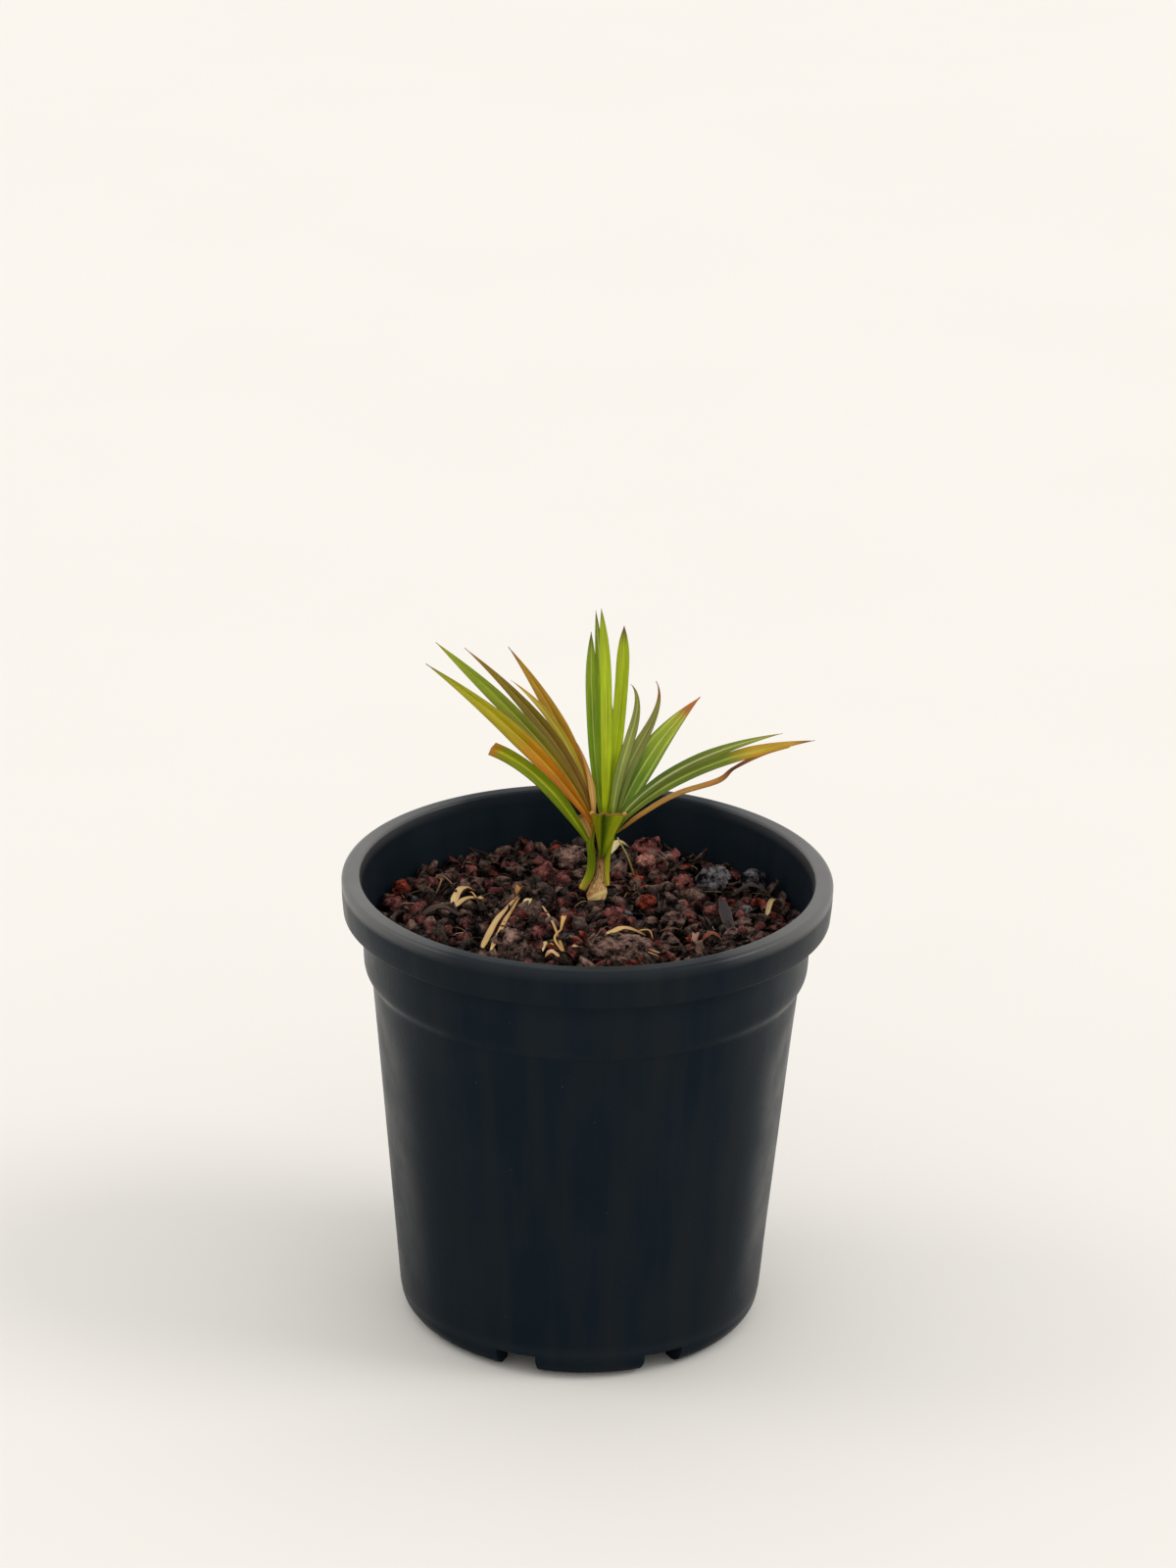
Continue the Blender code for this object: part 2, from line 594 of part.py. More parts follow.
def build_leaning_straw(height, material):
    """Thin dry straw that leans from the ground against the right leaf's sheath."""
    low_x, low_y = 19.4 * MM, 50.8 * MM
    half = 0.5 * LEANING_STRAW_WIDTH
    foot = Vector((low_x, low_y, height(low_x, low_y) + half + 2.0 * CLEARANCE))
    tip = plant_point(8.8, -3.2, 30.6)
    straw = tube([foot, (foot + tip) / 2, tip], [(half, half), (half, half)], 6)
    add_object("leaning_straw", straw, material)


def main():
    clear_scene()
    plastic = make_material("pot_plastic", (0.025, 0.03, 0.036), 0.55)
    soil = make_material("bark_mix", (0.045, 0.03, 0.026), 0.95)
    lava = make_material("lava_rock", (0.12, 0.06, 0.055), 0.95)
    bulb = make_material("stem_tan", (0.5, 0.33, 0.15), 0.7)
    left_green = make_material("strap_olive", (0.2, 0.22, 0.02), 0.5)
    right_green = make_material("strap_green", (0.1, 0.18, 0.03), 0.5)
    new_green = make_material("strap_new", (0.32, 0.45, 0.02), 0.45)
    cut_green = make_material("strap_cut", (0.25, 0.3, 0.03), 0.5)
    build_pot(plastic)
    mix = build_mix(soil)
    height = surface_finder(mix)
    pockets = build_rocks(height, lava)
    dry = make_material("dry_straw", (0.6, 0.45, 0.25), 0.8)
    build_scraps(height, dry)
    build_leaning_straw(height, dry)
    add_object("stem_base", stem_mesh(), bulb)
    pockets.append(add_object("stem_pocket", stem_mesh(1.4 * CLEARANCE), None, smooth=False))
    build_left_frond(left_green)
    build_right_frond(right_green)
    build_centre_frond(new_green)
    build_cut_frond(cut_green)
    combine(mix, pockets, "DIFFERENCE")
    mix.data.shade_smooth()
    mix.data.set_sharp_from_angle(angle=math.radians(35.0))


main()
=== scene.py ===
import math

import bmesh
import bpy
import numpy as np
from mathutils import Matrix, Vector, noise


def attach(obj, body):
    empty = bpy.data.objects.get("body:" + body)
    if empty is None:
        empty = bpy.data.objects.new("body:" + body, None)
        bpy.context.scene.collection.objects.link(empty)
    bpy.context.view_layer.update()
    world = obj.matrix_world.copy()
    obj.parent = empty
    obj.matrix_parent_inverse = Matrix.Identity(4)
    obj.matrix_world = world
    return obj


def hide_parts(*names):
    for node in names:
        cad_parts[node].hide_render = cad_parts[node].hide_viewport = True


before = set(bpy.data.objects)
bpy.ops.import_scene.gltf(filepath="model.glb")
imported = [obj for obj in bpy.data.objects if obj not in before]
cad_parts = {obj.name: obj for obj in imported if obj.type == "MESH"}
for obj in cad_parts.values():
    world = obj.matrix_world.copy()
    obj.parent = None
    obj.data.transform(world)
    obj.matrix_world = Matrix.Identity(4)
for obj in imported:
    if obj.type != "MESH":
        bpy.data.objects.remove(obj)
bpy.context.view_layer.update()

mm = 0.001
bpy.context.scene.view_settings.view_transform = "Standard"


# Helpers for colours, meshes and nodes

def screenColour(red, green, blue):  # 0 to 255 as seen on a screen, turned to linear
    return tuple(((c / 255 + 0.055) / 1.055) ** 2.4 if c > 10 else c / 3294 for c in (red, green, blue))


def blendColour(a, b, share):
    return tuple(p + (q - p) * share for p, q in zip(a, b))


def smoothStep(low, high, value):
    t = min(max((value - low) / (high - low), 0.0), 1.0)
    return t * t * (3.0 - 2.0 * t)


def addMesh(name, verts, faces, material, smooth=True, sharp=None):
    mesh = bpy.data.meshes.new(name)
    mesh.from_pydata([tuple(v) for v in verts], [], [tuple(f) for f in faces])
    mesh.validate()
    thing = bpy.data.objects.new(name, mesh)
    bpy.context.scene.collection.objects.link(thing)
    mesh.materials.append(material)
    if smooth:
        mesh.shade_smooth()
    if sharp:
        mesh.set_sharp_from_angle(angle=math.radians(sharp))
    return thing


def gridFaces(rows, columns, closed=False):  # quads between rows of equal length
    faces = []
    for i in range(rows - 1):
        for j in range(columns if closed else columns - 1):
            k = (j + 1) % columns
            faces.append((i * columns + j, i * columns + k, (i + 1) * columns + k, (i + 1) * columns + j))
    return faces


def slabFaces(rows, columns):  # rows of an upper and a lower edge, closed at both ends
    ring = 2 * columns
    faces = gridFaces(rows, ring, closed=True)
    for row in (0, rows - 1):
        for j in range(columns - 1):
            a, b = row * ring + j, row * ring + j + 1
            c, d = row * ring + ring - 2 - j, row * ring + ring - 1 - j
            faces.append((a, b, c, d) if row else (d, c, b, a))
    return faces


def tubeFaces(rows, sides):
    return gridFaces(rows, sides, closed=True) + [tuple(range(sides - 1, -1, -1)),
                                                  tuple(range((rows - 1) * sides, rows * sides))]


def paint(thing, colours):  # one colour for each corner of the mesh
    layer = thing.data.color_attributes.new("tint", "FLOAT_COLOR", "POINT")
    flat = np.ones((len(thing.data.vertices), 4), np.float32)
    flat[:, :3] = np.array(colours, np.float32)
    layer.data.foreach_set("color", flat.ravel())


def layUv(thing, places):  # one place in mm for each corner of the mesh
    layer = thing.data.uv_layers.new(name="size")
    loops = np.zeros(len(thing.data.loops), np.int32)
    thing.data.loops.foreach_get("vertex_index", loops)
    layer.data.foreach_set("uv", np.array(places, np.float32)[loops].ravel())


def addTinted(name, verts, faces, material, colours, places=None):
    thing = addMesh(name, verts, faces, material)
    paint(thing, colours)
    if places:
        layUv(thing, places)
    return thing


def settle(thing, slotName, *nodes):  # rides on the part, stands for CAD nodes
    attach(thing, "root")
    if nodes:
        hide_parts(*nodes)
    return thing


def newMaterial(name, colour, roughness, specular=0.5):
    material = bpy.data.materials.new(name)
    material.use_nodes = True
    shader = material.node_tree.nodes["Principled BSDF"]
    shader.inputs["Base Color"].default_value = (*colour, 1.0)
    shader.inputs["Roughness"].default_value = roughness
    shader.inputs["Specular IOR Level"].default_value = specular
    return material, material.node_tree, shader


def addNoise(tree, source, scale, detail=3.0, rough=0.55):
    node = tree.nodes.new("ShaderNodeTexNoise")
    node.inputs["Scale"].default_value = scale
    node.inputs["Detail"].default_value = detail
    node.inputs["Roughness"].default_value = rough
    tree.links.new(source, node.inputs["Vector"])
    return node.outputs["Fac"]


def addRamp(tree, source, *stops):  # stops are (place, colour or grey value)
    node = tree.nodes.new("ShaderNodeValToRGB")
    ramp = node.color_ramp
    while len(ramp.elements) < len(stops):
        ramp.elements.new(0.5)
    for element, (place, colour) in zip(ramp.elements, stops):
        element.position = place
        element.color = (*colour, 1.0) if isinstance(colour, tuple) else (colour, colour, colour, 1.0)
    tree.links.new(source, node.inputs["Fac"])
    return node.outputs["Color"]


def addMix(tree, first, second, share=None, kind="MIX", amount=0.5):
    node = tree.nodes.new("ShaderNodeMix")
    node.data_type = "RGBA"
    node.blend_type = kind
    node.inputs["Factor"].default_value = amount
    if share is not None:
        tree.links.new(share, node.inputs["Factor"])
    tree.links.new(first, node.inputs["A"])
    if isinstance(second, tuple):
        node.inputs["B"].default_value = (*second, 1.0)
    else:
        tree.links.new(second, node.inputs["B"])
    return node.outputs["Result"]


def addShade(tree, colour, source, low, high, amount):  # darkens the colour by a ramp
    return addMix(tree, colour, addRamp(tree, source, low, high), kind="MULTIPLY", amount=amount)


def readTint(tree):
    node = tree.nodes.new("ShaderNodeAttribute")
    node.attribute_name = "tint"
    return node.outputs["Color"]


def splitPlace(tree, place):
    node = tree.nodes.new("ShaderNodeSeparateXYZ")
    tree.links.new(place, node.inputs["Vector"])
    return node.outputs


def softSkin(shader, weight, radius):
    shader.inputs["Subsurface Weight"].default_value = weight
    shader.inputs["Subsurface Radius"].default_value = radius
    shader.inputs["Subsurface Scale"].default_value = 1.0


def addBump(tree, shader, height, depth, strength=1.0, under=None):
    node = tree.nodes.new("ShaderNodeBump")
    node.inputs["Strength"].default_value = strength
    node.inputs["Distance"].default_value = depth
    tree.links.new(height, node.inputs["Height"])
    if under:
        tree.links.new(under.outputs["Normal"], node.inputs["Normal"])
    tree.links.new(node.outputs["Normal"], shader.inputs["Normal"])
    return node


def coordinates(tree, kind="Object"):
    return tree.nodes.new("ShaderNodeTexCoord").outputs[kind]


def stretched(tree, source, x, y, z=1.0):
    node = tree.nodes.new("ShaderNodeMapping")
    node.inputs["Scale"].default_value = (x, y, z)
    tree.links.new(source, node.inputs["Vector"])
    return node.outputs["Vector"]


# Camera, from the photograph's own perspective

view = {
    "distance": 1.929,  # metres from the pot's axis
    "height": 1.0009,
    "down": 0.3794,  # radians
    "turn": -0.0003,
    "tilt": 0.02,
    "lens": 118.1,
    "sensor": 36.0,
}


def placeCamera(values):
    down, turn, tilt = values["down"], values["turn"], values["tilt"]
    ahead = Vector((math.sin(turn) * math.cos(down), math.cos(turn) * math.cos(down), -math.sin(down)))
    right = Vector((math.cos(turn), -math.sin(turn), 0.0))
    above = right.cross(ahead)
    sideways = right * math.cos(tilt) + above * math.sin(tilt)
    upwards = above * math.cos(tilt) - right * math.sin(tilt)
    lensData = bpy.data.cameras.new("camera")
    lensData.lens = values["lens"]
    lensData.sensor_width = values["sensor"]
    camera = bpy.data.objects.new("camera", lensData)
    bpy.context.scene.collection.objects.link(camera)
    camera.matrix_world = Matrix.Translation((0.0, -values["distance"], values["height"])) @ Matrix(
        (sideways, upwards, -ahead)).transposed().to_4x4()
    bpy.context.scene.camera = camera


placeCamera(view)
print("camera placed")


# Floor and light

studio = {
    "floorSize": 14.0,
    "floorColour": screenColour(246, 243, 237),
    "skyStrength": 0.83,
    "keyStrength": 0.72,
    "keyFrom": (0.9, -0.12, 0.85),
    "fillStrength": 0.3,
    "fillFrom": (-0.9, 0.05, 0.95),
    "lampAngle": math.radians(24.0),
}


def buildStudio(values):
    half = values["floorSize"] / 2
    material, tree, shader = newMaterial("floorPaper", values["floorColour"], 0.9, 0.1)
    speckle = addNoise(tree, coordinates(tree), 3.0)
    warm = addRamp(tree, speckle, (0.3, values["floorColour"]), (0.7, screenColour(244, 241, 235)))
    tree.links.new(warm, shader.inputs["Base Color"])
    corners = [(-half, -half, 0), (half, -half, 0), (half, half, 0), (-half, half, 0)]
    floor = addMesh("floor", corners, [(0, 1, 2, 3)], material, smooth=False)
    world = bpy.data.worlds.new("studio")
    world.use_nodes = True
    bpy.context.scene.world = world
    background = world.node_tree.nodes["Background"]
    background.inputs["Color"].default_value = (1.0, 0.99, 0.976, 1.0)
    background.inputs["Strength"].default_value = values["skyStrength"]
    for name in ("key", "fill"):
        lampData = bpy.data.lights.new(name, "SUN")
        lampData.energy = values[name + "Strength"]
        lampData.angle = values["lampAngle"]
        lampData.color = (1.0, 0.985, 0.965)
        lamp = bpy.data.objects.new(name, lampData)
        lamp.rotation_euler = Vector(values[name + "From"]).to_track_quat("Z", "Y").to_euler()
        bpy.context.scene.collection.objects.link(lamp)


buildStudio(studio)
print("floor and light placed")


# Pot

potShape = {  # millimetres
    "rimRadius": 100.0, "rimTop": 192.5, "rimDepth": 15.5, "rimLand": 7.5, "rimRound": 2.4, "skirtWall": 1.8,
    "wall": 1.7, "collarRadius": 91.5, "collarFootRadius": 90.9, "collarFoot": 158.0,
    "shoulderRadius": 88.6, "shoulder": 149.6, "wallTopRadius": 87.5, "wallFootRadius": 75.2, "wallFoot": 11.5,
    "footLedge": 0.4, "footRound": 9.8, "footRing": 3.6, "floorLow": 10.6, "floorThick": 2.0,
    "steps": 240, "flutes": 10, "fluteDepth": 1.1, "fluteTurn": math.radians(2.0),
    "notchPairs": 3, "notchSpread": math.radians(24.0), "notchTurn": math.radians(-86.0),
    "notchWidth": 17.0, "notchHeight": 9.6, "notchInner": 55.0, "slotWidth": 11.0, "slotLength": 6.5,
}


def arcPoints(centreR, centreZ, radius, start, end, steps):
    turns = [math.radians(start + (end - start) * i / steps) for i in range(steps + 1)]
    return [(centreR + radius * math.cos(a), centreZ + radius * math.sin(a)) for a in turns]


def wallRadius(z):
    pot = potShape
    share = (z - pot["wallFoot"]) / (pot["shoulder"] - pot["wallFoot"])
    return pot["wallFootRadius"] + (pot["wallTopRadius"] - pot["wallFootRadius"]) * share


def potOutline():  # from the middle of the underside, up the outside, down the inside
    pot = potShape
    rim, top, low = pot["rimRadius"], pot["rimTop"], pot["rimTop"] - pot["rimDepth"]
    collar, collarFoot, edge = pot["collarRadius"], pot["collarFootRadius"], pot["shoulderRadius"]
    footR = pot["wallFootRadius"] - pot["footLedge"] - pot["footRound"]  # where the round of the foot is centred
    skirt = rim - pot["skirtWall"]
    floor = pot["floorLow"] + pot["floorThick"]
    corner = pot["footRound"] - pot["floorThick"]
    shoulder, wall = pot["shoulder"], pot["wall"]
    ringR = footR - pot["footRing"]
    under, footEdge, foot = pot["floorLow"], pot["wallFootRadius"], pot["wallFoot"]
    outside = [(0.0, under), (ringR - 1.2, under), (ringR, under - 1.2), (ringR, 0.4), (ringR + 0.4, 0.0)]
    outside += arcPoints(footR, pot["footRound"], pot["footRound"], -90, -8, 14)
    outside += [(footEdge - 0.15, foot - 0.7), (footEdge, foot - 0.3)]
    outside += [(wallRadius(z), z) for z in np.linspace(foot + 1.0, shoulder - 3.0, 26)]
    outside += [(pot["wallTopRadius"] - 0.05, shoulder - 0.8), (pot["wallTopRadius"] + 0.1, shoulder - 0.35)]
    outside += arcPoints(edge - 0.45, shoulder + 0.45, 0.45, -80, -5, 4)
    outside += [(edge + 0.35, shoulder + 1.3), (edge + 1.2, shoulder + 2.7), (edge + 1.75, shoulder + 4.0),
                (collarFoot - 0.25, shoulder + 5.4), (collarFoot, pot["collarFoot"]), (collar - 0.1, low - 2.0),
                (collar, low + 3.0), (collar + 0.6, top - 3.4), (skirt - 1.2, top - 3.2),
                (skirt - 0.5, low + 0.5)]
    outside += arcPoints(rim - 1.45, low + 0.55, 0.65, 200, 350, 8)
    outside += [(rim - 0.45, low + 4.0), (rim - 0.15, low + 8.0)]
    outside += arcPoints(rim - pot["rimRound"], top - pot["rimRound"], pot["rimRound"], 4, 90, 12)
    land = rim - pot["rimLand"]
    outside += [(land + 3.0, top + 0.02), *arcPoints(land + 1.3, top - 1.3, 1.3, 90, 178, 8)]
    inside = [(collar - wall + 0.4, low + 6.0), (collar - wall, low), (collarFoot - wall, pot["collarFoot"]),
              (wallRadius(shoulder) - wall + 0.9, shoulder + 2.0),
              (wallRadius(shoulder) - wall, shoulder - 2.0),
              (wallRadius(90.0) - wall, 90.0)]
    inside += arcPoints(wallRadius(floor + corner) - wall - corner, floor + corner, corner, 0, -90, 8)
    return outside + inside + [(0.0, floor)]


def spinOutline(outline, steps):
    verts, faces = [], []
    turns = [math.tau * k / steps for k in range(steps)]
    for r, z in outline[1:-1]:
        verts += [(r * math.cos(turn), r * math.sin(turn), z) for turn in turns]
    faces = gridFaces(len(outline) - 2, steps, closed=True)
    for z, row, flip in ((outline[0][1], 0, True), (outline[-1][1], len(outline) - 3, False)):
        middle = len(verts)
        verts.append((0.0, 0.0, z))
        for k in range(steps):
            a, b = row * steps + k, row * steps + (k + 1) % steps
            faces.append((middle, b, a) if flip else (middle, a, b))
    return verts, faces


def cutBlock(heading, inner, outer, width, low, high):
    verts = []
    for z in (low, high):
        for along, across in ((inner, -1), (outer, -1), (outer, 1), (inner, 1)):
            side = across * width / 2
            verts.append((mm * (along * math.cos(heading) - side * math.sin(heading)),
                          mm * (along * math.sin(heading) + side * math.cos(heading)), mm * z))
    faces = [(3, 2, 1, 0), (4, 5, 6, 7), (0, 1, 5, 4), (1, 2, 6, 5), (2, 3, 7, 6), (3, 0, 4, 7)]
    return verts, faces


potTones = {  # base colours; the edge colour is a painted highlight in thin lines at the heights in metres given below, where the edges catch light, the rim colour is a painted reflection on the sides of the rim top, and the inside colour is painted light on the inner wall
    "deep": (0.0062, 0.0115, 0.0172), "light": (0.0096, 0.0146, 0.02), "speck": (0.16, 0.155, 0.145),
    "streak": (0.0135, 0.0165, 0.0195), "edge": (0.022, 0.027, 0.033), "rim": (0.085, 0.083, 0.08),
    "inside": (0.012, 0.018, 0.025),
    "edges": ((0.0108, 0.0), (0.0114, 0.6), (0.0121, 0.0), (0.1488, 0.0), (0.1497, 1.0), (0.1504, 0.0),
              (0.1763, 0.0), (0.1774, 1.0), (0.1786, 0.0), (0.1911, 0.0), (0.1918, 1.0), (0.1924, 0.0)),
}


def potMaterial():
    tones = potTones
    material, tree, shader = newMaterial("potPlastic", tones["deep"], 0.34, 0.11)
    place = coordinates(tree)
    climb = splitPlace(tree, place)["Z"]
    cloudy = addNoise(tree, place, 26.0, 4.0)
    dust = addNoise(tree, place, 900.0, 2.0)
    colour = addRamp(tree, cloudy, (0.3, tones["deep"]), (0.72, tones["light"]))
    specks = addRamp(tree, dust, (0.775, 0.0), (0.8, 1.0))
    colour = addMix(tree, colour, tones["speck"], specks)
    streaks = addNoise(tree, stretched(tree, place, 1.0, 1.0, 0.06), 60.0, 3.0)
    colour = addMix(tree, colour, tones["streak"], addRamp(tree, streaks, (0.42, 0.0), (0.72, 1.0)))
    # painted highlight lines: the edge colour is mixed in at the listed heights along the edges
    edges = addRamp(tree, climb, *tones["edges"])
    colour = addMix(tree, colour, tones["edge"], edges)
    aside = tree.nodes.new("ShaderNodeMath")
    aside.operation = "ABSOLUTE"
    tree.links.new(splitPlace(tree, place)["X"], aside.inputs["Value"])
    sideways = addRamp(tree, aside.outputs["Value"], (0.05, 0.1), (0.092, 1.0))
    land = addRamp(tree, climb, (0.1895, 0.1), (0.1916, 1.0))
    shine = addMix(tree, land, sideways, kind="MULTIPLY", amount=1.0)
    tree.links.new(shine, shader.inputs["Specular IOR Level"])
    # painted reflection: the rim colour is painted over the sides of the rim top, through the same mask that
    # raises the specular level there
    shine = addRamp(tree, shine, (0.12, 0.0), (0.95, 1.0))
    colour = addMix(tree, colour, tones["rim"], shine)
    # painted light: the inner wall above the collar takes the lighter inside colour, broken up by the streaks
    reach = tree.nodes.new("ShaderNodeVectorMath")
    reach.operation = "LENGTH"
    tree.links.new(stretched(tree, place, 1.0, 1.0, 0.0), reach.inputs["Vector"])
    within = addRamp(tree, reach.outputs["Value"], (0.0925, 1.0), (0.0935, 0.0))
    above = addRamp(tree, climb, (0.158, 0.0), (0.166, 1.0))
    within = addMix(tree, within, above, kind="MULTIPLY", amount=1.0)
    within = addShade(tree, within, streaks, (0.35, 0.3), (0.7, 1.0), 1.0)
    colour = addMix(tree, colour, tones["inside"], within)
    tree.links.new(colour, shader.inputs["Base Color"])
    gloss = addRamp(tree, addNoise(tree, place, 60.0), (0.3, 0.29), (0.7, 0.4))
    tree.links.new(gloss, shader.inputs["Roughness"])
    peel = addBump(tree, shader, addNoise(tree, place, 620.0, 2.0), 0.00012, 0.55)
    waves = addNoise(tree, stretched(tree, place, 1.0, 1.0, 0.35), 45.0, 2.0)
    addBump(tree, shader, waves, 0.0008, 0.18, under=peel)
    return material


def buildPot():
    pot = potShape
    verts, faces = spinOutline(potOutline(), pot["steps"])
    shaped = []
    for x, y, z in verts:
        r = math.hypot(x, y)
        if 14.0 < z < 148.0 and r > wallRadius(z) - 0.5:
            fade = smoothStep(18.0, 34.0, z) * (1.0 - smoothStep(122.0, 142.0, z))
            turn = math.atan2(y, x) - pot["fluteTurn"]
            dent = pot["fluteDepth"] * fade * (0.5 - 0.5 * math.cos(pot["flutes"] * turn))
            x, y = x * (r - dent) / r, y * (r - dent) / r
        shaped.append((x * mm, y * mm, z * mm))
    shell = addMesh("potShell", shaped, faces, potMaterial())
    cutVerts, cutFaces = [], []
    for pair in range(pot["notchPairs"]):
        for side in (-1, 1):
            heading = pot["notchTurn"] + math.tau * pair / pot["notchPairs"] + side * pot["notchSpread"]
            notch = (pot["notchInner"], pot["rimRadius"], pot["notchWidth"], -2.0, pot["notchHeight"])
            slot = (pot["notchInner"] - pot["slotLength"], pot["notchInner"], pot["slotWidth"],
                    pot["floorLow"] - 2.0, pot["floorLow"] + pot["floorThick"] + 2.0)
            for values in (notch, slot):
                v, f = cutBlock(heading, *values)
                cutFaces += [tuple(i + len(cutVerts) for i in face) for face in f]
                cutVerts += v
    cutter = addMesh("notchCutter", cutVerts, cutFaces, shell.data.materials[0], smooth=False)
    cut = shell.modifiers.new("notches", "BOOLEAN")
    cut.operation = "DIFFERENCE"
    cut.solver = "EXACT"
    cut.object = cutter
    done = bpy.data.meshes.new_from_object(shell.evaluated_get(bpy.context.evaluated_depsgraph_get()))
    shell.modifiers.clear()
    shell.data = done
    bpy.data.objects.remove(cutter)
    done.shade_smooth()
    done.set_sharp_from_angle(angle=math.radians(38.0))
    settle(shell, "pot_plastic", "pot")


buildPot()
print("pot built")


# Potting mix: a rough bed, and loose pieces dealt out over it

mix = {
    "level": 169.4, "wave": 1.5, "waveLength": 26.0, "radius": 88.2,  # millimetres
    "rings": 120, "steps": 300, "roughness": 2.2,
    "stem": (3.2, 23.5, 5.6),  # place kept clear, with its radius
    "seed": 41,
}
chipKinds = {  # count, sizes, length, flatness, lumps, fineness, tumble, finish
    "maroonChips": (400, (2.8, 7.2), 1.25, 0.8, 0.3, 2, 0.5, "maroon"),
    "brickChips": (90, (2.4, 6.4), 1.4, 0.7, 0.28, 2, 0.5, "brick"),
    "brownChips": (330, (2.8, 8.0), 1.45, 0.65, 0.3, 2, 0.5, "brown"),
    "barkFlakes": (980, (3.0, 8.0), 2.2, 0.24, 0.26, 1, 0.62, "bark"),
    "darkCrumbs": (1500, (1.2, 3.4), 1.4, 0.7, 0.32, 1, 0.5, "black"),
    "greyLumps": (60, (3.2, 7.0), 1.3, 0.75, 0.3, 2, 0.5, "grey"),
    "strawBits": (46, (1.0, 2.4), 2.2, 0.25, 0.2, 1, 0.5, "straw"),
    "paleSpecks": (110, (0.7, 1.7), 1.2, 0.9, 0.1, 1, 0.5, "pale"),
}
fibres = {
    "count": 260, "length": (3.0, 13.0), "radius": (0.1, 0.26), "seed": 97, "spread": 84.0, "reach": 85.5,
    "tones": [(70, 52, 44), (34, 26, 24), (150, 120, 86), (96, 70, 54), (20, 16, 16), (188, 158, 116)],
}
mixTints = {  # dark and light side of each finish
    "maroon": (screenColour(46, 25, 25), screenColour(146, 88, 82)),
    "brick": (screenColour(92, 34, 28), screenColour(176, 80, 62)),
    "brown": (screenColour(40, 30, 29), screenColour(150, 118, 106)),
    "bark": (screenColour(12, 10, 11), screenColour(104, 86, 78)),
    "black": (screenColour(9, 8, 9), screenColour(66, 54, 52)),
    "grey": (screenColour(38, 36, 40), screenColour(132, 126, 128)),
    "pink": (screenColour(100, 60, 54), screenColour(186, 128, 116)),
    "straw": (screenColour(130, 96, 60), screenColour(226, 192, 138)),
    "pale": (screenColour(200, 190, 175), screenColour(245, 238, 228)),
}
rocks = {  # x, y, size, height share, turn, finish
    "rock_back_right": (25.6, 76.5, 12.0, 0.85, 10, "maroon"),
    "rock_grey_right": (52.0, 44.0, 14.0, 0.8, 40, "grey"),
    "rock_grey_far_right": (68.4, 45.0, 11.0, 0.8, 75, "grey"),
    "rock_front_left": (-30.1, -26.0, 13.0, 0.8, 120, "brown"),
    "rock_front": (13.4, -31.0, 22.0, 0.5, 5, "brown"),
    "rock_mid_right": (35.4, 2.0, 10.0, 0.8, 60, "brown"),
    "rock_red_near": (24.5, 20.5, 7.5, 0.9, 30, "brick"),
    "rock_red_front": (10.5, 6.0, 8.0, 0.85, 15, "maroon"),
    "rock_back_left": (-8.0, 64.3, 14.0, 0.7, 80, "brown"),
    "rock_red_left": (-18.0, 50.0, 8.5, 0.9, 45, "maroon"),
    "rock_red_right": (39.4, 41.0, 9.5, 0.85, 100, "maroon"),
    "rock_pink": (24.5, 62.0, 8.0, 0.9, 20, "pink"),
    "rock_brown_front": (-21.0, -14.0, 8.0, 0.8, 65, "maroon"),
    "rock_red_wall": (-77.0, 31.0, 7.5, 0.9, 50, "brick"),
}
rockSink = 0.28


def mixHeight(x, y):  # millimetres in and out
    wave = noise.noise(Vector((x / mix["waveLength"], y / mix["waveLength"], 3.1)))
    return mix["level"] + mix["wave"] * wave


def rockMaterial(tint):
    low, high = mixTints[tint]
    material, tree, shader = newMaterial(tint + "Rock", low, 0.8, 0.05)
    place = coordinates(tree)
    mottle = addNoise(tree, place, 210.0, 5.0, 0.65)
    colour = addRamp(tree, mottle, (0.4, tuple(c * 0.5 for c in low)), (0.66, tuple(c * 2.1 for c in high)))
    grain = addNoise(tree, place, 1500.0, 3.0, 0.7)
    colour = addShade(tree, colour, grain, (0.34, 0.2), (0.64, 1.0), 0.8)
    height = splitPlace(tree, place)["Z"]
    colour = addShade(tree, colour, height, (0.1682, 0.03), (0.1733, 1.0), 1.0)  # painted shade between the pieces: the lower, the darker
    tree.links.new(colour, shader.inputs["Base Color"])
    pits = addBump(tree, shader, grain, 0.0011, 0.9)
    addBump(tree, shader, addNoise(tree, place, 520.0, 3.0), 0.0022, 0.8, under=pits)
    return material


rockFinishes = {tint: rockMaterial(tint) for tint in mixTints}


def lumpBall(fine):  # unit ball as arrays
    bm = bmesh.new()
    bmesh.ops.create_icosphere(bm, subdivisions=fine, radius=0.5)
    verts = np.array([v.co for v in bm.verts])
    faces = np.array([[v.index for v in f.verts] for f in bm.faces])
    bm.free()
    return verts, faces


def buildBed():
    rows, steps = mix["rings"], mix["steps"]
    verts = []
    for i in range(1, rows + 1):
        r = mix["radius"] * i / rows
        for k in range(steps):
            x, y = r * math.cos(math.tau * k / steps), r * math.sin(math.tau * k / steps)
            rough = noise.fractal(Vector((x, y, 0.0)) * 0.35, 0.9, 2.1, 4)
            edge = smoothStep(78.0, 88.0, r)
            verts.append((x * mm, y * mm, (mixHeight(x, y) - 2.4 + mix["roughness"] * rough + 0.9 * edge) * mm))
    faces = gridFaces(rows, steps, closed=True)
    middle = len(verts)
    verts.append((0.0, 0.0, (mixHeight(0.0, 0.0) - 2.4) * mm))
    faces += [(middle, k, (k + 1) % steps) for k in range(steps)]
    bed = addMesh("mixBed", verts, faces, rockFinishes["black"])
    settle(bed, "bark_mix", "potting_mix")


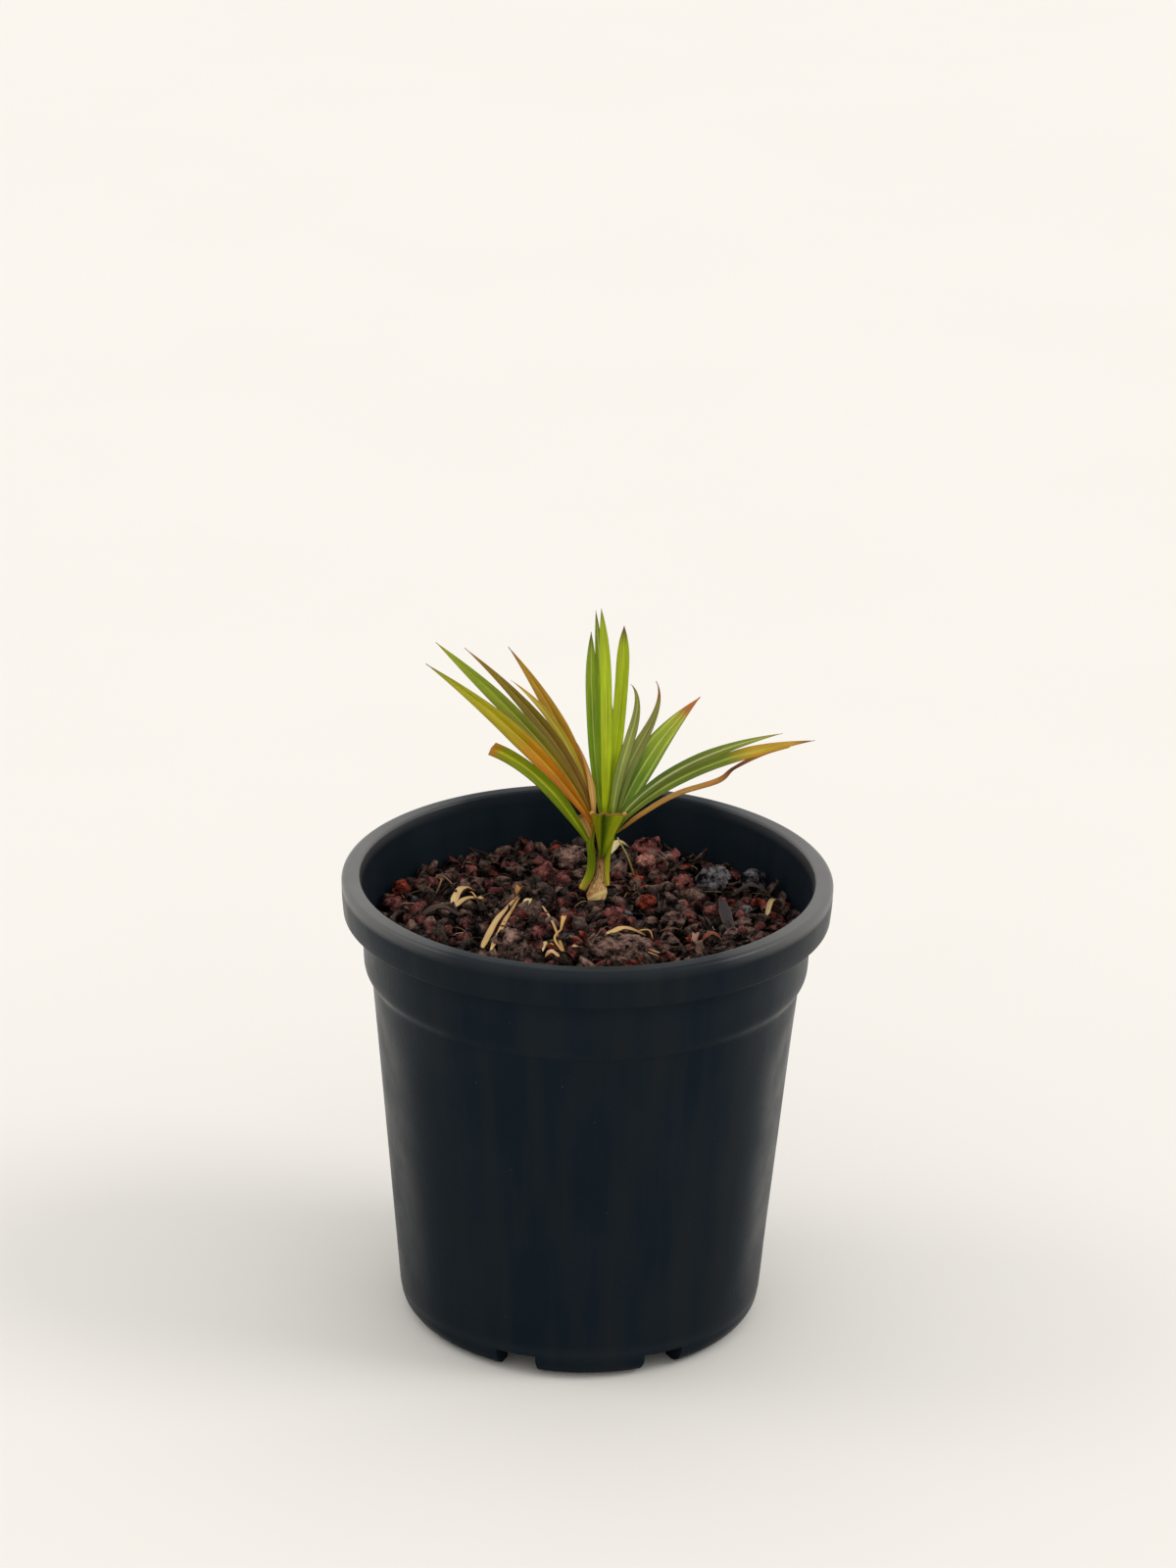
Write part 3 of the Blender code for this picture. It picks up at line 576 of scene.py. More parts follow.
def scatterChips(name, kind, seed):
    count, sizes, long, flat, lumps, fine, tumble, tint = kind
    rng = np.random.RandomState(seed)
    ball, faces = lumpBall(fine)
    verts = []
    while len(verts) < count:
        r = (mix["radius"] - 2.0) * math.sqrt(rng.rand())
        turn = math.tau * rng.rand()
        x, y = r * math.cos(turn), r * math.sin(turn)
        size = rng.uniform(*sizes)
        if math.hypot(x - mix["stem"][0], y - mix["stem"][1]) < mix["stem"][2] + 0.3 * size:
            continue
        if any(math.hypot(x - v[0], y - v[1]) < 0.42 * v[2] for v in rocks.values()):
            continue
        phase = rng.uniform(0, math.tau, (3, 1))
        pull = rng.normal(0, 4.6, (3, 3))
        bumps = np.sin(ball @ pull.T + phase.T).sum(axis=1) / 3.0
        points = ball * (1.0 + lumps * 2.0 * bumps)[:, None]
        stretch = rng.uniform(0.85, 1.15, 3) * np.array([long, 1.0, flat])
        points = points * stretch * size
        tilt = rng.normal(0, tumble, 2)
        cx, sx = math.cos(tilt[0]), math.sin(tilt[0])
        cy, sy = math.cos(tilt[1]), math.sin(tilt[1])
        spin = rng.uniform(0, math.tau)
        cz, sz = math.cos(spin), math.sin(spin)
        turnMatrix = (np.array([[cz, -sz, 0], [sz, cz, 0], [0, 0, 1]])
                      @ np.array([[cy, 0, sy], [0, 1, 0], [-sy, 0, cy]])
                      @ np.array([[1, 0, 0], [0, cx, -sx], [0, sx, cx]]))
        points = points @ turnMatrix.T
        lift = rng.uniform(-0.34, 0.42) * size * flat - 0.8
        points = points + np.array([x, y, mixHeight(x, y) + lift])
        beyond = np.maximum(np.hypot(points[:, 0], points[:, 1]) / mix["radius"], 1.0)
        points[:, :2] /= beyond[:, None]  # kept inside the wall
        verts.append(points)
    allVerts = np.concatenate(verts) * mm
    allFaces = np.concatenate([faces + i * len(ball) for i in range(count)])
    chips = addMesh(name, allVerts.tolist(), allFaces.tolist(), rockFinishes[tint], sharp=50)
    settle(chips, "bark_mix" if tint in ("bark", "black") else "lava_rock")


def scatterFibres(name, values, material):  # fine root hairs and threads of bark
    rng = np.random.RandomState(values["seed"])
    verts, faces, tones = [], [], []
    for k in range(values["count"]):
        r, turn = values["spread"] * math.sqrt(rng.rand()), math.tau * rng.rand()
        heading, bend = math.tau * rng.rand(), rng.normal(0, 0.5)
        length, rise = rng.uniform(*values["length"]), rng.uniform(0.2, 2.4)
        radius = rng.uniform(*values["radius"])
        tone = screenColour(*values["tones"][k % len(values["tones"])])
        x, y = r * math.cos(turn), r * math.sin(turn)
        for i in range(9):
            share = i / 8
            way = heading + bend * share * 2.0
            x, y = x + math.cos(way) * length / 8, y + math.sin(way) * length / 8
            away = math.hypot(x, y)
            if away > values["reach"]:
                x, y = x * values["reach"] / away, y * values["reach"] / away
            z = mixHeight(x, y) + 0.6 + rise * math.sin(math.pi * share)
            thin = radius * (1.0 - 0.6 * share)
            for a in (0.0, 2.094, 4.189):
                across, up = thin * math.cos(a), thin * math.sin(a)
                point = (x - math.sin(way) * across, y + math.cos(way) * across, z + up)
                verts.append(tuple(c * mm for c in point))
                tones.append(tone)
            if i:
                base = len(verts) - 6
                for a in range(3):
                    b = (a + 1) % 3
                    faces.append((base + a, base + b, base + 3 + b, base + 3 + a))
    settle(addTinted(name, verts, faces, material, tones), "bark_mix")


def buildRocks():
    ball, faces = lumpBall(5)
    for seed, (name, (x, y, size, share, turn, tint)) in enumerate(rocks.items()):
        spin = math.radians(turn)
        verts = []
        for point in ball:
            co = Vector(point)
            bump = noise.noise(co * 3.1 + Vector((seed * 7.3, seed * 1.7, 0.0)))
            pits = noise.fractal(co * 9.0 + Vector((seed, 0.0, 2.0)), 0.8, 2.1, 4)
            co = co * (1.0 + 0.34 * bump + 0.13 * pits) * size
            co = Vector((co.x * 1.08, co.y * 0.92, co.z * share))
            verts.append(((x + co.x * math.cos(spin) - co.y * math.sin(spin)) * mm,
                          (y + co.x * math.sin(spin) + co.y * math.cos(spin)) * mm,
                          (mixHeight(x, y) + size * share * rockSink + co.z) * mm))
        rock = addMesh("lava" + name[4:].title().replace("_", ""), verts, faces, rockFinishes[tint])
        settle(rock, "lava_rock", name)


buildBed()
buildRocks()
for order, (kindName, kindValues) in enumerate(chipKinds.items()):
    scatterChips(kindName, kindValues, mix["seed"] + order)
print("potting mix built")


# Leaves

plantFoot = Vector((3.2, 23.5, 169.6))  # millimetres


def plantPoint(x, y, z):
    return plantFoot + Vector((x, y, z))


leafFinishes = {  # colours from foot to tip, then rib (a pale rib with painted sheen along the pleat crests), margin and tip, and where the tip starts
    "cutGreen": (((0, (112, 136, 10)), (0.3, (108, 130, 12)), (0.75, (124, 136, 14)), (1, (136, 128, 20))),
        (186, 196, 60), (84, 70, 14), (168, 112, 44), 0.965),
    "gold": (((0, (168, 96, 8)), (0.28, (186, 112, 10)), (0.42, (190, 128, 14)), (0.52, (168, 146, 16)), (0.8,
        (150, 152, 18)), (1, (120, 122, 22))), (222, 184, 76), (128, 80, 16), (130, 104, 40), 0.98),
    "olive": (((0, (134, 96, 6)), (0.28, (124, 100, 6)), (0.5, (104, 112, 8)), (0.72, (118, 136, 10)), (1,
        (140, 150, 20))), (176, 180, 60), (76, 72, 8), (142, 124, 36), 0.97),
    "oliveBrown": (((0, (138, 90, 6)), (0.35, (112, 84, 6)), (0.7, (112, 96, 10)), (1, (142, 104, 44))),
        (164, 140, 48), (86, 62, 8), (146, 104, 56), 0.93),
    "amber": (((0, (188, 118, 14)), (0.3, (182, 116, 10)), (0.55, (164, 120, 8)), (1, (136, 104, 20))),
        (208, 166, 52), (150, 104, 24), (138, 92, 40), 0.93),
    "sand": (((0, (160, 136, 24)), (0.6, (156, 142, 28)), (1, (196, 160, 84))), (198, 182, 80),
        (156, 122, 40), (190, 148, 90), 0.9),
    "dryPink": (((0, (196, 146, 84)), (0.5, (196, 148, 100)), (1, (176, 122, 80))), (222, 186, 142),
        (150, 98, 56), (150, 98, 62), 0.9),
    "fresh": (((0, (170, 190, 16)), (0.3, (170, 192, 12)), (0.7, (158, 182, 10)), (1, (130, 146, 14))),
        (204, 222, 74), (120, 148, 12), (110, 104, 24), 0.975),
    "deep": (((0, (140, 168, 30)), (0.4, (118, 152, 26)), (0.8, (124, 150, 16)), (1, (104, 120, 14))),
        (206, 226, 150), (96, 128, 14), (92, 88, 20), 0.96),
    "bright": (((0, (176, 194, 14)), (0.5, (172, 194, 10)), (0.9, (150, 168, 10)), (1, (120, 120, 14))),
        (206, 222, 70), (128, 150, 12), (104, 84, 24), 0.965),
    "greyGreen": (((0, (112, 136, 36)), (0.5, (126, 138, 74)), (1, (146, 142, 92))), (182, 190, 136),
        (88, 98, 44), (140, 122, 76), 0.95),
    "greyBrown": (((0, (96, 122, 34)), (0.5, (112, 122, 68)), (0.85, (134, 128, 84)), (1, (136, 88, 50))),
        (170, 176, 122), (72, 80, 36), (140, 78, 44), 0.9),
    "broad": (((0, (100, 138, 26)), (0.4, (96, 132, 22)), (0.75, (150, 166, 52)), (1, (176, 130, 72))),
        (200, 212, 140), (70, 92, 16), (166, 96, 52), 0.88),
    "darkGreen": (((0, (98, 124, 24)), (0.4, (78, 100, 26)), (0.8, (114, 130, 44)), (1, (152, 152, 50))),
        (202, 206, 176), (64, 80, 16), (140, 122, 40), 0.96),
    "darkToGold": (((0, (108, 130, 14)), (0.35, (80, 104, 12)), (0.62, (94, 112, 14)), (0.74, (184, 146, 30)),
        (1, (186, 124, 44))), (168, 178, 90), (132, 92, 34), (110, 54, 36), 0.955),
}
leafLift = (1.42, 1.36, 0.8)  # what the upright leaves need to show these colours in this light


def leafColour(colour):
    return tuple(min(0.85, c * lift) for c, lift in zip(screenColour(*colour), leafLift))


# Straps: heading and sweep, length, lean at foot and tip with delay and hook, width, roll, taper, pleats
leftStraps = {
    "lowestCut": ((216.1, 5.9), 75.5, (31.7, 60.9, 1.4, 0), 5.9, -104, (1.01, 1.0), 1, "cutGreen"),
    "cutStub": ((210.0, 0.0), 14.2, (11.8, 31.7, 0.9, 0), 4.6, -108, (1.01, 1.0), 1, "dryPink"),
    "second": ((201.0, -1.8), 107.3, (28.5, 51.8, 0.63, 0), 7.4, -89, (0.5, 1.3), 2, "gold"),
    "third": ((182.9, -31.3), 101.4, (12.3, 59.1, 0.5, 0), 6.2, -69, (0.6, 1.6), 2, "olive"),
    "fourth": ((163.2, -14.4), 92.6, (1.3, 62.0, 0.5, 0), 5.8, -60, (0.5, 1.2), 2, "oliveBrown"),
    "fifth": ((140.1, -2.9), 83.4, (0.0, 54.9, 0.5, 0), 6.6, -45, (0.5, 1.25), 2, "amber"),
    "hidden": ((150.2, 5.8), 70.9, (11.7, 63.1, 1.24, 0), 3.6, -56, (0.6, 1.3), 1, "sand"),
    "shortDry": ((128.2, 2.4), 38.0, (-4.9, 50.8, 1.14, 0), 2.9, -34, (0.4, 0.9), 1, "dryPink"),
}
centreStraps = {
    "left": ((140.0, -6.3), 83.9, (17.8, 0.7, 0.5, 0), 5.0, -40, (0.66, 2.6), 2, "deep"),
    "tallLeft": ((115.1, -1.1), 91.7, (1.4, 14.6, 1.02, 0), 3.4, -22, (0.74, 2.0), 1, "deep"),
    "tall": ((97.9, 8.1), 93.2, (-5.1, 24.3, 1.36, 0), 4.8, -11, (0.66, 2.8), 2, "fresh"),
    "right": ((50.0, -0.9), 86.3, (13.0, -0.5, 1.12, 0), 5.4, 34, (0.76, 3.0), 2, "bright"),
    "behind": ((82.9, 10.4), 66.7, (62.8, 52.7, 1.03, 0), 4.6, 3, (0.6, 1.2), 1, "greyBrown"),
}
rightStraps = {
    "curled": ((50.9, -9.2), 66.9, (1.0, 88.7, 1.51, -139), 4.2, 36, (0.62, 1.5), 1, "greyGreen"),
    "curledBrown": ((37.8, -12.5), 68.7, (7.0, 110.1, 1.7, -141), 6.2, 46, (0.5, 1.0), 2, "greyBrown"),
    "broad": ((21.7, -0.5), 68.4, (17.8, 50.6, 1.05, 0), 10.4, 46, (0.5, 1.5), 3, "broad"),
    "archingUpper": ((-11.1, 13.5), 87.0, (9.7, 77.7, 0.5, 0), 4.6, 66, (0.6, 1.3), 1, "darkGreen"),
    "archingLower": ((-13.8, 9.2), 98.2, (25.6, 80.3, 0.61, 0), 4.8, 66, (0.72, 1.3), 1, "darkToGold"),
}
blade = {"stations": 90, "across": 21, "fold": 0.28, "thick": 0.55, "thin": 0.22, "pleatDepth": 0.42}


def leafMaterial():
    material, tree, shader = newMaterial("leafBlade", (0.1, 0.2, 0.02), 0.36, 0.34)
    size = coordinates(tree, "UV")
    veins = addNoise(tree, stretched(tree, size, 3.4, 0.05), 1.0, 3.0, 0.6)
    patches = addNoise(tree, stretched(tree, size, 0.35, 0.07), 1.0, 3.0)
    colour = addShade(tree, readTint(tree), veins, (0.32, 0.34), (0.62, 1.0), 0.62)
    colour = addShade(tree, colour, patches, (0.3, 0.74), (0.65, 1.0), 0.45)
    tree.links.new(colour, shader.inputs["Base Color"])
    tree.links.new(addRamp(tree, patches, (0.3, 0.34), (0.7, 0.5)), shader.inputs["Roughness"])
    softSkin(shader, 0.12, (0.0012, 0.0016, 0.0005))
    addBump(tree, shader, veins, 0.0003, 0.7)
    return material


def tintAt(finish, s, u, pleats):
    along, rib, margin, tip, start = finish
    stops = [(place, leafColour(colour)) for place, colour in along]
    colour = stops[-1][1]
    for (a, first), (b, second) in zip(stops, stops[1:]):
        if s <= b:
            colour = blendColour(first, second, (s - a) / (b - a))
            break
    crest = 0.5 + 0.5 * math.cos(math.pi * pleats * (u + 1.0) + (math.pi if pleats % 2 else 0.0))
    # pale rib and painted sheen along each pleat crest
    colour = blendColour(colour, leafColour(rib), 0.8 * crest ** 14)
    colour = blendColour(colour, leafColour(margin), 0.8 * smoothStep(0.82, 1.0, abs(u)))
    wobble = 0.02 * math.sin(9.0 * u + 3.0 * pleats)
    return blendColour(colour, leafColour(tip), smoothStep(start - 0.05, start + 0.02, s + wobble))


def walkStrap(start, turn, length, lean, count):
    point = start.copy()
    points = [point.copy()]
    for i in range(count):
        s = (i + 0.5) / count
        tilt = math.radians(lean[0] + (lean[1] - lean[0]) * s ** lean[2] + lean[3] * s ** 4)
        way = math.radians(turn[0] + turn[1] * s)
        point = point + Vector((math.sin(tilt) * math.cos(way), math.sin(tilt) * math.sin(way),
                                math.cos(tilt))) * (length / count)
        points.append(point.copy())
    return points


def strapHalf(s, widest, taper):
    foot = 0.3 + 0.7 * math.sin(0.5 * math.pi * min(s / 0.46, 1.0)) ** 1.2
    tip = 1.0
    if s > taper[0]:
        tip = 1.0 - ((s - taper[0]) / (1.0 - taper[0])) ** taper[1]
    return 0.5 * widest * foot * max(tip, 0.05)


def buildStrap(name, start, values, material):
    turn, length, lean, widest, roll, taper, pleats, finishName = values
    finish = leafFinishes[finishName]
    rows, columns = blade["stations"], blade["across"]
    path = walkStrap(start, turn, length, lean, rows - 1)
    verts, colours, places = [], [], []
    angle = math.radians(roll)
    for i, point in enumerate(path):
        s = i / (rows - 1)
        way = math.radians(turn[0] + turn[1] * s)
        level = Vector((-math.sin(way), math.cos(way), 0.0))
        tangent = (path[min(i + 1, rows - 1)] - path[max(i - 1, 0)]).normalized()
        upper = tangent.cross(level).normalized()
        level = upper.cross(tangent).normalized()
        side = level * math.cos(angle) + upper * math.sin(angle)
        face = tangent.cross(side)
        half = strapHalf(s, widest, taper)
        ripple = 0.12 * half * math.sin(9.0 * s + roll)
        for layer in (1, -1):
            for j in range(columns):
                u = -1.0 + 2.0 * j / (columns - 1)
                u = u if layer == 1 else -u
                pleat = 0.5 - 0.5 * math.cos(math.pi * pleats * (u + 1))
                pleat *= blade["pleatDepth"] * min(half / 2.0, 1.0)
                rise = blade["fold"] * half * abs(u) + ripple * u * u * 0.5
                rise += pleat * (0.5 if pleats > 1 else 0.3)
                thick = 0.5 * (blade["thick"] + (blade["thin"] - blade["thick"]) * abs(u)) * (1.0 - 0.4 * s)
                verts.append((point + side * (u * half) + face * (rise + layer * thick)) * mm)
                colours.append(tintAt(finish, s, u, pleats))
                places.append((u * half + 20.0 * layer, s * length))
    return addTinted(name, verts, slabFaces(rows, columns), material, colours, places)


def smoothPath(points, steps):
    pts = [Vector(p) for p in points]
    pts = [2 * pts[0] - pts[1], *pts, 2 * pts[-1] - pts[-2]]
    path = []
    for a, b, c, d in zip(pts, pts[1:], pts[2:], pts[3:]):
        for i in range(steps):
            t = i / steps
            path.append(0.5 * (2 * b + (c - a) * t + (2 * a - 5 * b + 4 * c - d) * t * t
                               + (3 * b - a - 3 * c + d) * t ** 3))
    path.append(pts[-2])
    return path


def valueAlong(values, share):
    place = share * (len(values) - 1)
    k = min(int(place), len(values) - 2)
    return np.array(values[k]) + (np.array(values[k + 1]) - np.array(values[k])) * (place - k)


def buildTube(name, points, radii, colours, material, steps=8, sides=24, ribs=0.0, ribCount=9):
    path = smoothPath(points, steps)
    verts, tints, places = [], [], []
    along = 0.0
    for i, point in enumerate(path):
        share = i / (len(path) - 1)
        tangent = (path[min(i + 1, len(path) - 1)] - path[max(i - 1, 0)]).normalized()
        side = Vector((0, 1, 0)).cross(tangent).normalized()
        face = tangent.cross(side).normalized()
        across, deep = valueAlong(radii, share)
        along += (path[i] - path[max(i - 1, 0)]).length
        for n in range(sides):
            a = math.tau * n / sides
            rib = ribs * math.cos(ribCount * a + 2.0 * share)
            right, out = across * (1.0 + rib) * math.cos(a), deep * (1.0 + rib) * math.sin(a)
            verts.append((point + side * right + face * out) * mm)
            # the tint follows the ribs: painted highlight on the ridges, painted shade in the grooves
            tints.append(tuple(c * (1.0 + 2.2 * rib) for c in leafColour(valueAlong(colours, share))))
            places.append((across * a, along))
    return addTinted(name, verts, tubeFaces(len(path), sides), material, tints, places)


leafSkin = leafMaterial()


stalks = {  # points from the plant's foot, half widths, tones, steps, sides, ribs and their number
    "leftSheath": (((-5.4, -1.4, 6.8), (-2.4, -0.8, 13.0), (-1.6, -0.8, 20.0), (-2.4, -1.4, 28.0),
        (-1.4, -0.6, 36.0)), ((1.4, 1.6), (1.75, 2.0), (1.7, 2.1), (1.6, 1.6), (1.5, 1.3)), ((196, 176, 84),
        (140, 156, 24), (112, 134, 14), (122, 134, 14), (132, 100, 24)), 8, 24, 0.06, 9),
    "rightSheath": (((4.9, -0.4, 8.4), (4.6, -0.4, 14.0), (4.9, -0.6, 22.0), (6.5, -1.0, 31.6)), ((1.0, 1.3),
        (1.15, 1.8), (1.2, 1.7), (1.3, 1.2)), ((206, 190, 90), (190, 188, 60), (160, 168, 34),
        (134, 150, 20)), 8, 24, 0.06, 9),
    "driedMargin": (((7.4, -1.5, 31.6), (11.4, -2.0, 35.0), (18.5, -3.3, 41.6), (32.2, -6.0, 51.6),
        (49.0, -8.8, 59.0), (55.4, -9.8, 65.0), (67.0, -10.6, 71.9), (77.5, -11.0, 75.6)), ((0.4, 0.3),
        (0.7, 0.3), (1.1, 0.3), (1.2, 0.3), (1.3, 0.3), (0.7, 0.5), (1.0, 0.3), (0.8, 0.25)), ((120, 120, 40),
        (160, 116, 52), (206, 150, 92), (214, 160, 112), (200, 142, 94), (92, 50, 34), (206, 146, 96),
        (214, 164, 112)), 14, 16, 0.05, 5),
    "newStalk": (((2.2, 1.2, 21.4), (2.7, 1.6, 27.0), (3.2, 1.8, 34.5)), ((1.1, 1.1), (1.5, 1.4), (2.0, 1.6)),
        ((120, 140, 40), (132, 154, 40), (140, 166, 40)), 8, 24, 0.05, 9),
    "cutKnobLeft": (((-2.0, -4.9, 41.0), (-2.0, -4.9, 42.2), (-2.0, -4.9, 43.0)), ((0.5, 0.5), (1.0, 0.8),
        (0.3, 0.3)), ((170, 130, 84), (206, 164, 122), (190, 146, 104)), 8, 12, 0.08, 3),
    "cutKnobRight": (((11.4, -5.7, 41.2), (11.4, -5.7, 42.4), (11.4, -5.7, 43.2)), ((0.5, 0.5), (1.0, 0.8),
        (0.3, 0.3)), ((170, 130, 84), (206, 164, 122), (190, 146, 104)), 8, 12, 0.08, 3),
}
forks = {
    "left": (-1.4, -0.5, 34.9), "leftLow": (-2.9, -2.0, 27.6), "right": (6.4, -1.0, 30.9),
    "centre": (3.2, 1.8, 32.9),
}


def buildStalk(name, slotName, *nodes):
    points, radii, tones, steps, sides, ribs, ribCount = stalks[name]
    points = [plantPoint(*point) for point in points]
    stalk = buildTube(name, points, radii, tones, leafSkin, steps, sides, ribs=ribs, ribCount=ribCount)
    settle(stalk, slotName, *nodes)


def buildStraps(side, straps, slotName):
    for key, values in straps.items():
        fork = side + "Low" if key in ("lowestCut", "cutStub") else side  # these two leave the sheath lower down
        settle(buildStrap(side + "Strap_" + key, plantPoint(*forks[fork]), values, leafSkin), slotName)


cutLeaf = {
    "top": 212.1, "low": 191.0, "rows": 44, "across": 61, "thick": (0.62, 0.36),
    "pleats": [(-5.6, -0.4), (-2.4, -2.6), (-0.4, -0.2), (2.2, -2.6), (4.6, -0.8), (8.6, -1.4)],
    # pleat panels from one side to the other, with painted light and shade: the lit panels lighter, the panel in
    # shadow dark
    "tones": [(158, 158, 20), (140, 148, 16), (64, 88, 14), (104, 126, 14), (172, 184, 30), (160, 172, 30)],
    "cutTone": (156, 112, 62), "lowTone": (96, 118, 10),
}


def buildCutFrond():
    rows, columns = cutLeaf["rows"], cutLeaf["across"]
    verts, colours, places = [], [], []
    for i in range(rows):
        s = i / (rows - 1)
        spread = 0.16 + 0.84 * s ** 1.25
        front = plantPoint(2.2 + 1.1 * s, -1.8 - 2.9 * s ** 0.8, 0.0)
        base = cutLeaf["low"] + (cutLeaf["top"] - cutLeaf["low"]) * s
        half = 0.5 * (cutLeaf["thick"][0] + (cutLeaf["thick"][1] - cutLeaf["thick"][0]) * s)
        for layer in (-1, 1):
            for j in range(columns):
                share = j / (columns - 1)
                share = share if layer == -1 else 1.0 - share
                x, y = valueAlong(cutLeaf["pleats"], share)
                ragged = 0.35 * noise.noise(Vector((share * 14.0, 0.0, 4.0))) * s ** 12
                place = (front.x + x * spread, front.y + y * spread + layer * half, base + ragged)
                verts.append(Vector(place) * mm)
                rise = min(s / 0.3, 1.0)
                # painted light and shade on the pleat panels, over the lower tone near the foot
                tone = np.array(cutLeaf["lowTone"]) * (1 - rise) + valueAlong(cutLeaf["tones"], share) * rise
                tone = leafColour(tone)
                colours.append(blendColour(tone, leafColour(cutLeaf["cutTone"]), smoothStep(0.93, 0.985, s)))
                places.append((share * 20.0 + 30 * layer, s * 21.0))
    funnel = addTinted("cutFunnel", verts, slabFaces(rows, columns), leafSkin, colours, places)
    settle(funnel, "strap_cut", "frond_cut")


buildStalk("leftSheath", "strap_olive", "frond_left")
buildStraps("left", leftStraps, "strap_olive")
buildStalk("rightSheath", "strap_green", "frond_right")
buildStraps("right", rightStraps, "strap_green")
buildStalk("driedMargin", "strap_green")
buildStalk("newStalk", "strap_new", "frond_centre")
buildStraps("centre", centreStraps, "strap_new")
buildCutFrond()
buildStalk("cutKnobLeft", "strap_cut")
buildStalk("cutKnobRight", "strap_cut")
print("leaves built")


# Stem

stem = {
    "height": 21.0, "lift": 1.12,
    "levels": [(0.0, 2.0), (1.0, 3.1), (3.0, 4.1), (5.2, 4.0), (7.4, 3.3), (10.0, 2.6), (14.0, 2.0), (21.0, 1.5)],
    "tones": [(206, 160, 96), (240, 200, 130), (240, 200, 134), (228, 184, 118), (214, 172, 112), (206, 162, 104),
              (190, 146, 86), (126, 88, 44)],
}


def radiusAt(levels, height):
    for (a, first), (b, second) in zip(levels, levels[1:]):
        if height <= b:
            t = (height - a) / (b - a)
            return first + (second - first) * t * t * (3 - 2 * t)
    return levels[-1][1]


def stemMaterial():
    material, tree, shader = newMaterial("stemFibre", (0.5, 0.33, 0.15), 0.6, 0.25)
    place = coordinates(tree)
    strands = addNoise(tree, stretched(tree, place, 2.6, 2.6, 0.5), 900.0, 4.0, 0.7)
    colour = addShade(tree, readTint(tree), strands, (0.34, 0.5), (0.54, 1.0), 0.3)
    tree.links.new(colour, shader.inputs["Base Color"])
    softSkin(shader, 0.1, (0.0015, 0.0009, 0.0005))
    addBump(tree, shader, strands, 0.0004, 0.8)
    return material


def buildStem():
    rows, sides = 90, 72
    verts, colours = [], []
    for i in range(rows):
        height = stem["height"] * i / (rows - 1)
        share = height / stem["height"]
        radius = radiusAt(stem["levels"], height)
        x = 0.1 + 1.7 * min(height / 12.0, 1.0) + 0.02 * height
        fibrous = smoothStep(5.0, 10.0, height)
        for n in range(sides):
            a = math.tau * n / sides
            c, t = math.cos(a), math.sin(a)
            strand = noise.noise(Vector((c * 5.0, t * 5.0, height * 0.12)))
            scale = noise.noise(Vector((c * 2.2, t * 2.2, height * 0.6)))
            reach = radius * (1.0 + 0.16 * strand * fibrous + 0.07 * scale)
            top = 0.8 * noise.noise(Vector((c * 6.0, t * 6.0, 9.0))) * smoothStep(0.8, 1.0, share)
            point = plantPoint(x + reach * c, 1.1 * reach * t, height + top)
            verts.append(point * mm)
            tone = screenColour(*valueAlong(stem["tones"], share))
            tone = tuple(min(0.9, value * stem["lift"]) for value in tone)
            dashes = smoothStep(0.12, 0.3, noise.noise(Vector((c * 7.0, t * 7.0, height * 0.45))))
            tone = blendColour(tone, screenColour(86, 48, 26), dashes * fibrous * 0.9)
            spot = smoothStep(0.25, 0.5, noise.noise(Vector((c * 1.6, t * 1.6 + 3.0, height * 0.3))))
            tone = blendColour(tone, screenColour(190, 112, 48), spot * (1.0 - fibrous) * 0.8)
            colours.append(tone)
    bulb = addTinted("stemBulb", verts, tubeFaces(rows, sides), stemMaterial(), colours)
    settle(bulb, "stem_tan", "stem_base")


buildStem()
print("stem built")


# Dry scraps on the mix

scraps = {  # places on the mix, widths, height of the middle, colours from end to end, fold
    "folded_straw": (((-42.4, -33.9), (-36.4, -6.0), (-28.0, 25.5)), (2.6, 2.4, 0.9), 2.6, ((206, 172, 112),
        (214, 180, 122), (196, 150, 96)), 0.5),
    "dry_twig": (((-18.9, 18.6), (-12.6, -10.0), (-8.6, -35.1)), (0.7, 1.1, 1.4), 1.0, ((206, 176, 128),
        (196, 154, 96), (190, 140, 84)), 0.2),
    "dry_leaf_front": (((7.5, -17.5), (15.0, -12.4), (24.2, -13.0)), (3.8, 3.6, 0.8), 2.2, ((216, 180, 120),
        (220, 184, 122), (150, 104, 60)), 0.35),
    "curved_straw": (((73.6, 8.0), (76.0, 19.0), (80.6, 24.0)), (2.0, 2.2, 1.4), 3.0, ((206, 184, 132),
        (196, 170, 116), (150, 112, 70)), 0.5),
    "dark_leaf": (((55.1, 29.6), (56.6, 8.0), (59.9, -14.9)), (1.2, 5.2, 3.0), 0.8, ((60, 50, 48),
        (52, 48, 52), (40, 36, 38)), 0.4),
    "dry_leaf_left": (((-55.0, 12.6), (-49.0, 19.4), (-41.9, 18.4)), (3.6, 2.2, 2.6), 1.2, ((220, 188, 132),
        (206, 168, 112), (214, 180, 126)), 0.4),
}
